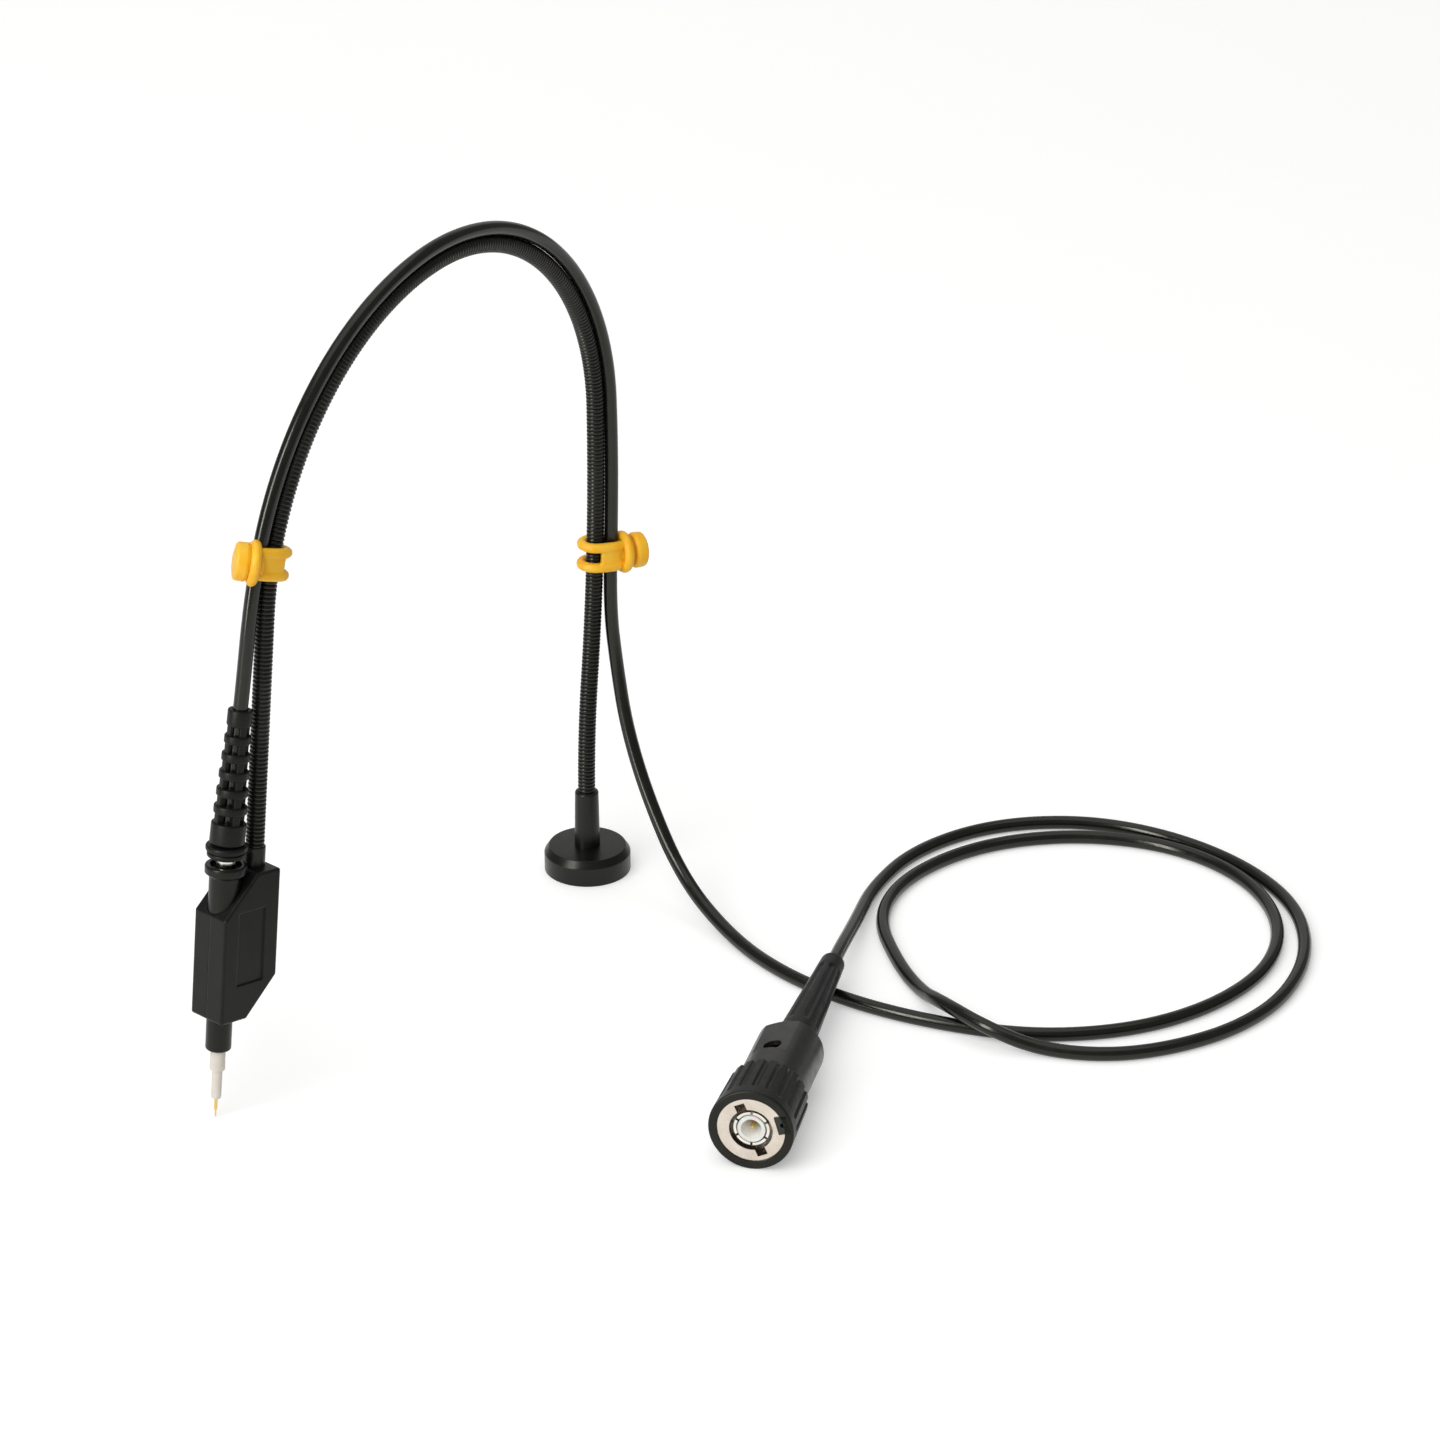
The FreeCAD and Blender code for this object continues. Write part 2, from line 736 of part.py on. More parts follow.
flange_top = "jack_flange_at + jack_flange_thick"
turned(
    "jack_body",
    [
        ("shell_dia / 2 + fit", jack_foot),
        ("jack_dia / 2", jack_foot),
        ("jack_dia / 2", "jack_flange_at - 0.5"),
        ("jack_flange_dia / 2 - 0.6", "jack_flange_at"),
        ("jack_flange_dia / 2", "jack_flange_at + 0.3"),
        ("jack_flange_dia / 2", flange_top + " - 0.4"),
        ("jack_flange_dia / 2 - 0.4", flange_top),
        ("jack_recess_dia / 2", flange_top),
        ("jack_recess_dia / 2", flange_top + " - jack_recess_depth"),
        ("shell_dia / 2 + fit", flange_top + " - jack_recess_depth"),
    ],
    at_head,
)
collar_foot = flange_top + " + collar_lift"
shell_top = collar_foot + " - fit"
shell_bottom = shell_top + " - shell_length"
turned(
    "jack_contact_shell",
    rectangle("shell_dia / 2 - shell_wall", shell_bottom, "shell_dia / 2", shell_top),
    at_head,
)
turned(
    "jack_core",
    rectangle(
        "contact_dia / 2 + fit",
        shell_bottom + " + 0.4",
        "shell_dia / 2 - shell_wall - fit",
        shell_top + " - plug_sleeve_sink - 0.2",
    ),
    at_head,
)
contact_top = shell_top + " - 1.5"
turned(
    "jack_contact",
    [
        ("0", contact_top + " - contact_length"),
        ("contact_dia / 2", contact_top + " - contact_length"),
        ("contact_dia / 2", contact_top + " - 0.4"),
        ("contact_dia / 2 - 0.25", contact_top),
        ("0", contact_top),
    ],
    at_head,
)
collar_top = collar_foot + " + collar_thick"
turned(
    "lead_plug_collar",
    [
        ("shell_dia / 2 - shell_wall - fit", collar_foot),
        ("collar_foot_dia / 2", collar_foot),
        ("collar_dia / 2 - 0.4", collar_foot + " + 0.7"),
        ("collar_dia / 2 - 0.4", collar_foot + " + 0.7 + collar_groove"),
        ("collar_dia / 2", collar_foot + " + 0.9 + collar_groove"),
        ("collar_dia / 2", collar_top + " - 0.3"),
        ("collar_dia / 2 - 0.3", collar_top),
        ("shell_dia / 2 - shell_wall - fit", collar_top),
    ],
    at_head,
)
plug_sleeve_radius = "shell_dia / 2 - shell_wall - 2 * fit"
turned(
    "lead_plug_sleeve",
    rectangle(
        plug_sleeve_radius + " - plug_sleeve_wall",
        shell_top + " - plug_sleeve_sink",
        plug_sleeve_radius,
        collar_top,
    ),
    at_head,
)

# Slotted boot: rings joined by four ribs, with the lead showing through the windows

at_boot = at_head * Placement(
    Vector(0, 0, size(collar_top + " + boot_gap")), Rotation(Vector(0, 1, 0), size("boot_lean"))
) * Placement(Vector(), Rotation(Vector(0, 0, 1), size("boot_turn")))
boot_slotted = f"(boot_row_rise * {BOOT_ROWS})"
boot_taper = f"(boot_base_dia - boot_top_dia) / 2 / {BOOT_ROWS}"
boot_profile = [("boot_bore / 2", "0"), ("boot_base_dia / 2", "0"), ("boot_base_dia / 2", "boot_base_rise")]
for line in range(BOOT_ROWS):
    low = f"boot_base_rise + {line} * boot_row_rise"
    ring_radius = f"boot_base_dia / 2 - {line + 1} * {boot_taper}"
    boot_profile += [
        (ring_radius + " - boot_neck_step", low),
        (ring_radius + " - boot_neck_step", low + " + boot_window_rise"),
        (ring_radius, low + " + boot_window_rise"),
        (ring_radius, low + " + boot_row_rise"),
    ]
boot_top = f"boot_base_rise + {boot_slotted} + boot_top_rise - boot_row_rise + boot_window_rise"
boot_profile = boot_profile[:-1] + [
    ("boot_top_dia / 2", boot_top + " - 0.4"),
    ("boot_top_dia / 2 - 0.4", boot_top),
    ("boot_bore / 2", boot_top),
]
boot = turned("lead_boot", boot_profile, at_boot)
for role, label in (("XZ_Plane", "front"), ("YZ_Plane", "side")):
    windows = new_sketch(boot, f"boot_{label}_windows", role)
    for line in range(BOOT_ROWS):
        low = f"boot_base_rise + {line} * boot_row_rise"
        half = f"((boot_base_dia / 2 - {line + 1} * {boot_taper}) * 0.7071 - boot_rib / 2)"
        draw_loop(windows, rectangle("-" + half, low, half, low + " + boot_window_rise"))
    pocketed(boot, f"boot_{label}_cut", windows, "boot_base_dia * 2", middle=True)

# Ties: a split band round arm and lead, drawn shut by a ring over a knob

LEAD_OFFSET = size("(arm_dia + lead_dia) / 2 + soft_gap")


def lead_side(distance, turn):
    """Unit vector from the arm's line to the lead's, turned about the arm by degrees."""
    _, direction, outward = along_arm(distance)
    return (outward * math.cos(math.radians(turn))) + (Vector(0, 1, 0) * math.sin(math.radians(turn)))


def hull_of_two(first_radius, second_radius, spacing, rise):
    """A bar whose section wraps two circles, the second one along +X."""
    lean = math.asin((first_radius - second_radius) / spacing)
    corners = []
    for radius, across in ((first_radius, 0.0), (second_radius, spacing)):
        corners.append(Vector(across + radius * math.sin(lean), radius * math.cos(lean), -rise / 2))
    upper_first, upper_second = corners
    lower_first = Vector(upper_first.x, -upper_first.y, upper_first.z)
    lower_second = Vector(upper_second.x, -upper_second.y, upper_second.z)
    far_left = Vector(-first_radius, 0, -rise / 2)
    far_right = Vector(spacing + second_radius, 0, -rise / 2)
    edges = [
        Part.LineSegment(upper_first, upper_second).toShape(),
        Part.Arc(upper_second, far_right, lower_second).toShape(),
        Part.LineSegment(lower_second, lower_first).toShape(),
        Part.Arc(lower_first, far_left, upper_first).toShape(),
    ]
    return Part.Face(Part.Wire(edges)).extrude(Vector(0, 0, rise))


def tie(name, distance, turn, twist):
    place, direction, _ = along_arm(distance)
    side = lead_side(distance, turn)
    gap = size("soft_gap")
    thick = size("band_thick")
    arm_radius = size("arm_dia / 2") + gap
    lead_radius = size("lead_dia / 2") + gap
    rise = size("band_height")
    band = hull_of_two(arm_radius + thick, lead_radius + thick * 0.8, LEAD_OFFSET, rise)
    rims = [edge for edge in band.Edges if abs(edge.CenterOfMass.z) > rise / 2 - 0.01]
    band = band.makeFillet(size("band_round"), rims)
    band = band.cut(hull_of_two(arm_radius, lead_radius, LEAD_OFFSET, rise * 2))
    # the slot that parts the band into two strands, all round the arm's side
    reach = arm_radius + thick + 1.0
    slot = size("band_slot")
    band = band.cut(Part.makeBox(reach + 0.4, reach * 2, slot, Vector(-reach, -reach, -slot / 2)))
    neck_length = size("ring_section + fit * 2")
    band_end = LEAD_OFFSET + lead_radius + thick * 0.8
    out = Vector(1, 0, 0)
    neck = Part.makeCylinder(
        size("neck_dia / 2"), neck_length + lead_radius / 2, Vector(band_end - lead_radius / 2, 0, 0), out
    )
    ring_centre = band_end + size("ring_section / 2") - 0.1
    ring = Part.makeTorus(
        size("(ring_dia - ring_section) / 2"), size("ring_section / 2"), Vector(ring_centre, 0, 0), out
    )
    knob_foot = Vector(band_end + neck_length - 0.2, 0, 0)
    knob = Part.makeCylinder(size("knob_dia / 2"), size("knob_thick"), knob_foot, out)
    knob_rims = [edge for edge in knob.Edges if edge.Length > size("knob_dia") * 2]
    knob = knob.makeFillet(size("knob_round"), knob_rims)
    head = neck.fuse([ring, knob])
    head.rotate(Vector(LEAD_OFFSET, 0, 0), Vector(0, 0, 1), twist)
    head = head.cut(hull_of_two(arm_radius, lead_radius, LEAD_OFFSET, rise * 2))
    solid = band.fuse(head)
    frame = Placement(place, Rotation(side, direction.cross(side), direction, "ZXY"))
    return shaped(name, solid, frame)


tie("near_tie", NEAR_TIE, size("near_tie_turn"), 0.0)
tie("far_tie", FAR_TIE, size("far_tie_turn"), -size("far_tie_twist"))

# Bayonet plug on the table, on its own axis from the face backwards

GRIP_SLOPE = math.atan(size("(grip_dia - grip_rear_dia) / 2 / grip_length"))
PLUG_HEADING = math.radians(size("plug_heading"))
plug_back = Vector(
    math.cos(PLUG_HEADING) * math.cos(GRIP_SLOPE),
    math.sin(PLUG_HEADING) * math.cos(GRIP_SLOPE),
    -math.sin(GRIP_SLOPE),
)
plug_right = plug_back.cross(Vector(0, 0, 1)).normalize()
plug_up = plug_right.cross(plug_back).normalize()
plug_face = Vector(size("plug_at_x"), size("plug_at_y"), size("grip_dia / 2") * math.cos(GRIP_SLOPE))
at_plug = Placement(plug_face, Rotation(plug_up, plug_back.cross(plug_up), plug_back, "ZXY"))

grip = turned(
    "plug_grip",
    [
        ("bayonet_dia / 2 + fit", "0"),
        ("grip_dia / 2 - grip_round", "0"),
        ("grip_dia / 2", "grip_round"),
        ("grip_rear_dia / 2", "grip_length - grip_round / 2"),
        ("grip_rear_dia / 2 - grip_round / 2", "grip_length"),
        ("plug_body_dia / 2 + fit", "grip_length"),
        ("plug_body_dia / 2 + fit", "grip_length - grip_lip_thick"),
        ("bayonet_dia / 2 + fit", "grip_length - grip_lip_thick"),
    ],
    at_plug,
)
flute = new_sketch(grip, "flute_circle", "XY_Plane", {"z": "flute_from"})
draw_circle(flute, "grip_rear_dia / 2 + flute_dia / 2 - flute_depth", "0", "flute_dia")
flute_cut = pocketed(grip, "flute", flute, "grip_length", reverse=True)
ringed(grip, "flutes", flute_cut, FLUTES)


def turned_outline(sketch, points, angle):
    """A closed outline whose points, given in a frame turned by the angle, are set by formulas."""
    cosine = f"cos({angle} * 1 deg)"
    sine = f"sin({angle} * 1 deg)"
    turned_points = []
    for x, y in points:
        turned_points.append((f"({x}) * {cosine} - ({y}) * {sine}", f"({x}) * {sine} + ({y}) * {cosine}"))
    draw_loop(sketch, turned_points)


readout_slot = rectangle(
    "readout_inner - fit", "-readout_width / 2 - fit", "readout_outer + fit", "readout_width / 2 + fit"
)
notch = new_sketch(grip, "readout_notch", "XY_Plane")
turned_outline(notch, readout_slot, "readout_angle")
pocketed(grip, "readout_seat", notch, "readout_depth + fit", reverse=True)

bayonet_rear = "grip_length - grip_lip_thick - fit"
bayonet = turned(
    "bayonet_shell",
    [
        ("jack_bore / 2", "bayonet_set_back"),
        ("bayonet_dia / 2", "bayonet_set_back"),
        ("bayonet_dia / 2", bayonet_rear),
        ("bayonet_dia / 2 - bayonet_wall", bayonet_rear),
        ("bayonet_dia / 2 - bayonet_wall", "bayonet_set_back + bayonet_plate"),
        ("jack_bore / 2", "bayonet_set_back + bayonet_plate"),
    ],
    at_plug,
)
keyways = new_sketch(bayonet, "keyway_outline", "XY_Plane")
keyway = rectangle("-keyway_dia / 2", "-keyway_width / 2", "keyway_dia / 2", "keyway_width / 2")
turned_outline(keyways, keyway, "keyway_angle")
pocketed(bayonet, "keyways", keyways, "bayonet_set_back + bayonet_plate", reverse=True)
notch = new_sketch(bayonet, "readout_window", "XY_Plane")
turned_outline(notch, readout_slot, "readout_angle")
pocketed(bayonet, "readout_opening", notch, "readout_depth + fit", reverse=True)

readout = padded(
    "readout_block",
    rectangle("readout_inner", "-readout_width / 2", "readout_outer", "readout_width / 2"),
    "readout_depth",
    at_plug * Placement(Vector(), Rotation(Vector(0, 0, 1), size("readout_angle"))),
    role="XY_Plane",
)
hole = new_sketch(readout, "readout_hole_circle", "XY_Plane")
draw_circle(hole, "(readout_inner + readout_outer) / 2", "0", "readout_hole")
pocketed(readout, "readout_pin_hole", hole, "readout_depth / 2", reverse=True)

contact = turned(
    "outer_contact",
    rectangle(
        "sleeve_contact_dia / 2 - sleeve_contact_wall",
        "sleeve_contact_set_back",
        "sleeve_contact_dia / 2",
        "plug_body_from + 2",
    ),
    at_plug,
)
slots = new_sketch(contact, "sleeve_slot_outline", "XY_Plane")
draw_loop(slots, rectangle("0", "-sleeve_slot / 2", "sleeve_contact_dia", "sleeve_slot / 2"))
slot_reach = "sleeve_contact_set_back + sleeve_slot_length"
slot_cut = pocketed(contact, "sleeve_slot_cut", slots, slot_reach, reverse=True)
ringed(contact, "sleeve_slots", slot_cut, SLEEVE_SLOTS)

turned(
    "plug_core",
    [
        ("core_bore / 2", "core_set_back"),
        ("core_dia / 2", "core_set_back"),
        ("core_dia / 2", "plug_body_from + 4"),
        ("pin_dia / 2 + fit", "plug_body_from + 4"),
        ("pin_dia / 2 + fit", "core_set_back + core_bore_depth"),
    ],
    at_plug,
)
turned(
    "plug_pin",
    [
        ("0", "pin_set_back"),
        ("pin_dia / 2 - 0.3", "pin_set_back"),
        ("pin_dia / 2", "pin_set_back + 0.6"),
        ("pin_dia / 2", "plug_body_from + 10"),
        ("0", "plug_body_from + 10"),
    ],
    at_plug,
)
box_front = "grip_length + box_gap"
plug_body = turned(
    "plug_body",
    [
        ("core_dia / 2 + fit", "plug_body_from"),
        ("bayonet_dia / 2 - bayonet_wall - fit", "plug_body_from"),
        ("bayonet_dia / 2 - bayonet_wall - fit", "plug_body_from + plug_flange"),
        ("plug_body_dia / 2", "plug_body_from + plug_flange"),
        ("plug_body_dia / 2", box_front),
        ("box_bore / 2 - fit", box_front),
        ("box_bore / 2 - fit", box_front + " + box_front_wall"),
        ("pin_dia / 2 + 1", box_front + " + box_front_wall"),
        ("pin_dia / 2 + 1", "plug_body_from + 4"),
        ("core_dia / 2 + fit", "plug_body_from + 4"),
    ],
    at_plug,
)
seat = new_sketch(plug_body, "contact_seat_half", "XZ_Plane")
draw_loop(
    seat,
    rectangle(
        "core_dia / 2", "plug_body_from - 1", "sleeve_contact_dia / 2 + fit", "plug_body_from + 2 + fit"
    ),
)
grooved(plug_body, "contact_seat", seat)

# wave washer that takes up the coupling's play, between the bayonet's plate and the body
washer_middle = size("plug_body_from - washer_wave - washer_thick / 2 - fit")
washer_inner = size("jack_bore / 2 + 0.3")
washer_outer = size("bayonet_dia / 2 - bayonet_wall - 0.1")
WAVES = 3


def washer_ring(radius):
    points = []
    for step in range(12 * WAVES):
        angle = 2 * math.pi * step / (12 * WAVES)
        height = washer_middle + size("washer_wave / 2") * math.cos(WAVES * angle)
        points.append(Vector(radius * math.cos(angle), radius * math.sin(angle), height))
    curve = Part.BSplineCurve()
    curve.interpolate(Points=points, PeriodicFlag=True)
    return curve.toShape()


wave = Part.makeRuledSurface(washer_ring(washer_inner), washer_ring(washer_outer))
shaped("wave_washer", wave.extrude(Vector(0, 0, size("washer_thick"))), at_plug)

# Compensation box behind the grip, with its trimmer under a hole in the flat

at_box = at_plug * Placement(Vector(), Rotation(Vector(0, 0, 1), size("box_turn")))
box_rear = box_front + " + box_length"
box = turned(
    "trimmer_housing",
    [
        ("box_bore / 2", box_front),
        ("box_dia / 2", box_front),
        ("box_dia / 2", box_rear + " - box_edge"),
        ("box_dia / 2 - box_edge", box_rear),
        ("tail_spigot_dia / 2 + fit", box_rear),
        ("tail_spigot_dia / 2 + fit", box_rear + " - box_rear_wall"),
        ("box_bore / 2", box_rear + " - box_rear_wall"),
    ],
    at_box,
)
flat_height = "sqrt(box_dia * box_dia - box_flat_width * box_flat_width) / 2"
flat = new_sketch(box, "flat_outline", "XY_Plane", {"z": "box_flat_from"})
draw_loop(flat, rectangle(flat_height, "-box_dia / 2", "box_dia", "box_dia / 2"))
pocketed(box, "flat", flat, "box_length", reverse=True)
eye = new_sketch(box, "trimmer_hole_circle", "YZ_Plane")
draw_circle(eye, "0", "trimmer_at", "trimmer_hole")
pocketed(box, "trimmer_opening", eye, "box_dia", reverse=True)

trim_floor = flat_height + " - box_wall - screw_clear - trimmer_screw_rise - trimmer_body_rise"
lead_front = box_rear + " - box_rear_wall - lead_in_box"
padded(
    "trimmer_board",
    rectangle(
        trim_floor + " - board_thick",
        lead_front + " - board_gap - trim_board_length",
        trim_floor,
        lead_front + " - board_gap",
    ),
    f"2 * sqrt(box_bore * box_bore / 4 - ({trim_floor}) * ({trim_floor})) - 2 * fit",
    at_box,
    middle=True,
)
padded(
    "trimmer_body",
    rectangle(
        trim_floor,
        "trimmer_at - trimmer_body_size / 2",
        trim_floor + " + trimmer_body_rise",
        "trimmer_at + trimmer_body_size / 2",
    ),
    "trimmer_body_size",
    at_box,
    middle=True,
)
screw_seat = Vector(size(trim_floor + " + trimmer_body_rise + running_fit"), 0, size("trimmer_at"))
at_trimmer = at_box * Placement(screw_seat, Rotation(Vector(0, 1, 0), 90))
screw = turned(
    "trimmer_screw", rectangle("0", "0", "trimmer_screw_dia / 2", "trimmer_screw_rise"), at_trimmer
)
slit = new_sketch(screw, "screw_slot_outline", "XZ_Plane")
slit_low = "trimmer_screw_rise / 2"
draw_loop(slit, rectangle("-trimmer_slot / 2", slit_low, "trimmer_slot / 2", slit_low + " * 4"))
pocketed(screw, "screw_slot", slit, "trimmer_screw_dia * 2", middle=True)

# Fluted tail over the lead, behind the box

tail_front = box_rear
tail_start = tail_front + " + tail_collar_length + tail_groove_length"
tail_rear = tail_start + " + tail_length"
tail = turned(
    "plug_tail",
    [
        ("lead_dia / 2 + fit", tail_front + " - box_rear_wall"),
        ("tail_spigot_dia / 2", tail_front + " - box_rear_wall"),
        ("tail_spigot_dia / 2", tail_front),
        ("tail_collar_dia / 2", tail_front),
        ("tail_collar_dia / 2", tail_front + " + tail_collar_length"),
        ("tail_groove_dia / 2", tail_front + " + tail_collar_length"),
        ("tail_groove_dia / 2", tail_start),
        ("tail_dia / 2", tail_start),
        ("tail_end_dia / 2", tail_rear + " - tail_lip_length"),
        ("tail_lip_dia / 2", tail_rear + " - tail_lip_length + 0.4"),
        ("tail_lip_dia / 2", tail_rear + " - 0.5"),
        ("tail_lip_dia / 2 - 0.5", tail_rear),
        ("lead_dia / 2 + fit", tail_rear),
    ],
    at_plug,
)
# each flute follows the taper: its circle is drawn across the slope and cut along it
slope = "atan((tail_dia - tail_end_dia) / 2 / (tail_length - tail_lip_length))"
flute = new_sketch(tail, "tail_flute_circle", "XY_Plane", {
    "x": f"tail_dia / 2 - tail_flute_from * tan({slope}) + tail_flute_dia / 2 - tail_flute_depth",
    "z": tail_start + " + tail_flute_from",
})
flute.AttachmentOffset = Placement(flute.AttachmentOffset.Base, Rotation(Vector(0, 1, 0), -1))
flute.setExpression("AttachmentOffset.Rotation.Angle", bound("-" + slope))
draw_circle(flute, "0", "0", "tail_flute_dia")
flute_reach = "tail_length - tail_lip_length - tail_flute_from - tail_flute_short"
flute_cut = pocketed(tail, "tail_flute", flute, flute_reach, reverse=True)
ringed(tail, "tail_flutes", flute_cut, TAIL_FLUTES)

turned(
    "lead_in_plug",
    rectangle("0", lead_front, "lead_dia / 2", tail_rear + " - tail_seat"),
    at_plug,
)

# Lead: straight runs joined by tangent arcs


def lead_wire(points):
    """The lead's line through hand-set corners, its length and its smallest bend radius."""
    edges = []
    start = points[0]
    tightest = 1e9
    for before, corner, after in zip(points, points[1:], points[2:]):
        back = (before - corner).normalize()
        ahead = (after - corner).normalize()
        turn = math.pi - back.getAngle(ahead)
        shorter = min((before - corner).Length, (after - corner).Length)
        radius = 0.45 * shorter / math.tan(turn / 2)
        tightest = min(tightest, radius)
        into = corner + back * (0.45 * shorter)
        out = corner + ahead * (0.45 * shorter)
        towards = (back + ahead).normalize()
        middle = corner + towards * (radius / math.cos(turn / 2) - radius)
        edges.append(Part.LineSegment(start, into).toShape())
        edges.append(Part.Arc(into, middle, out).toShape())
        start = out
    edges.append(Part.LineSegment(start, points[-1]).toShape())
    wire = Part.Wire(edges)
    return wire, wire.Length, tightest


def lead_stretch(name, points):
    wire, length, tightest = lead_wire(points)
    diameter = size("lead_dia")
    solid = swept(wire, points[0], points[1] - points[0], diameter)
    filled = solid.Volume / (math.pi * diameter * diameter / 4 * length)
    print(f"{name}: length {length:.1f}, tightest radius {tightest:.1f}, volume by section {filled:.4f}")
    shaped(name, solid)
    return length


def beside_arm(distance, spare=0.0):
    """The lead's place beside the arm, round which it turns evenly from one tie to the other."""
    place, _, outward = along_arm(distance)
    share = (FAR_TIE - distance) / (FAR_TIE - NEAR_TIE)
    turn = size("far_tie_turn") + (size("near_tie_turn") - size("far_tie_turn")) * share
    return place + lead_side(distance, turn) * LEAD_OFFSET + outward * spare


def run_on(before, end, distance):
    """The point that far past the end of a run."""
    return end + (end - before).normalize() * distance


# between the ties each corner stands out by the bow of its run, so that the arcs clear the arm
spacing = (FAR_TIE - NEAR_TIE) / ARCH_LEAD_RUNS
arch_lead = [beside_arm(FAR_TIE)]
for step in range(ARCH_LEAD_RUNS):
    distance = FAR_TIE - (step + 0.5) * spacing
    ahead = along_arm(distance + spacing / 2)[1]
    behind = along_arm(distance - spacing / 2)[1]
    arch_lead.append(beside_arm(distance, behind.getAngle(ahead) * spacing / 8))
arch_lead.append(beside_arm(NEAR_TIE))
lengths = [lead_stretch("lead_over_arch", arch_lead)]

# the boot holds the lead on its own axis, and the far tie takes it up in line
boot_line = [(0.0, 0.0, -0.15), (0.1, 0.0, 12.0), (-0.05, 0.1, 24.0), (0.0, 0.0, 35.6)]
head_lead = [at_boot.multVec(Vector(*point)) for point in boot_line]
head_lead += [run_on(arch_lead[1], arch_lead[0], size("run_above_boot")), arch_lead[0]]
lengths.append(lead_stretch("lead_at_head", head_lead))

# the free stretch drops to the table, lies in two loops and runs into the plug's tail
ON_TABLE = size("lead_dia / 2")
OVER_LEAD = 5.4
table_route = [
    (5.6, -5.3, 54.0),
    (3.4, -9.6, 39.0),
    (0.1, -18.0, 23.5),
    (-5.6, -31.8, 8.0),
    (-13.5, -50.5, ON_TABLE),
    (-21.6, -69.5, ON_TABLE),
    (-24.6, -90.0, ON_TABLE),
    (-22.5, -112.0, ON_TABLE),
    (-15.5, -134.5, ON_TABLE),
    (0.0, -152.5, ON_TABLE),
    (20.5, -162.5, ON_TABLE),
    (43.5, -164.5, ON_TABLE),
    (65.0, -156.0, ON_TABLE),
    (80.5, -138.5, ON_TABLE),
    (85.5, -115.5, ON_TABLE),
    (77.5, -92.5, ON_TABLE),
    (59.5, -75.5, ON_TABLE),
    (35.0, -69.0, ON_TABLE),
    (13.5, -74.5, ON_TABLE),
    (-3.5, -91.0, ON_TABLE),
    (-11.5, -102.0, ON_TABLE),
    (-18.8, -111.5, OVER_LEAD),
    (-23.4, -125.5, OVER_LEAD),
    (-20.0, -137.5, ON_TABLE),
    (-14.5, -152.0, ON_TABLE),
    (-3.5, -163.0, ON_TABLE),
    (13.0, -171.5, ON_TABLE),
    (32.5, -174.0, ON_TABLE),
    (55.0, -168.5, ON_TABLE),
    (74.5, -155.0, ON_TABLE),
    (86.0, -134.5, ON_TABLE),
    (89.5, -111.0, ON_TABLE),
    (84.5, -89.5, ON_TABLE),
    (69.5, -72.0, ON_TABLE),
    (48.0, -63.8, ON_TABLE),
    (26.0, -65.5, ON_TABLE),
    (6.0, -73.2, 3.9),
]
tail_exit = at_plug.multVec(Vector(0, 0, size(tail_rear + " + run_behind_tail")))
tail_inside = at_plug.multVec(Vector(0, 0, size(tail_rear + " - tail_seat")))
free_lead = [arch_lead[-1], run_on(arch_lead[-2], arch_lead[-1], size("run_below_tie"))]
free_lead += [Vector(*point) for point in table_route] + [tail_exit, tail_inside]
lengths.append(lead_stretch("lead_on_table", free_lead))

# Check the model and write one file for each sub-part

doc.recompute()
for item in doc.Objects:
    if "Invalid" in item.State or "Error" in item.State:
        raise ValueError(f"{item.Name} failed: {item.State}")

os.makedirs("parts", exist_ok=True)
KINDS = ("PartDesign::Body", "Part::Feature", "Part::Compound")
sub_parts = [item for item in doc.Objects if item.TypeId in KINDS]
for item in sub_parts:
    if item.Shape.isNull() or not item.Shape.isValid():
        raise ValueError(f"{item.Label} has no valid shape")
    item.Shape.exportStep(f"parts/{item.Label}.step")

print(f"lead in all {sum(lengths):.0f}, arm {ARM_LENGTH:.1f}, head leans {math.degrees(HEAD_LEAN):.1f}")
PLACES = {
    "needle tip": head_origin,
    "needle axis": HEAD_AXIS,
    "far tie": along_arm(FAR_TIE)[0],
    "lead at the far tie": arch_lead[0],
    "lead at the near tie": arch_lead[-1],
    "lead below the near tie": free_lead[1],
    "plug face": plug_face,
    "plug axis": plug_back,
    "tail exit": tail_exit,
    "trimmer seat": at_trimmer.Base,
    "trimmer axis": at_trimmer.Rotation.multVec(Vector(0, 0, 1)),
}
for name, place in PLACES.items():
    print(name, [round(value, 4) for value in place])
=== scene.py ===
import math

import bmesh
import bpy
from mathutils import Matrix, Vector


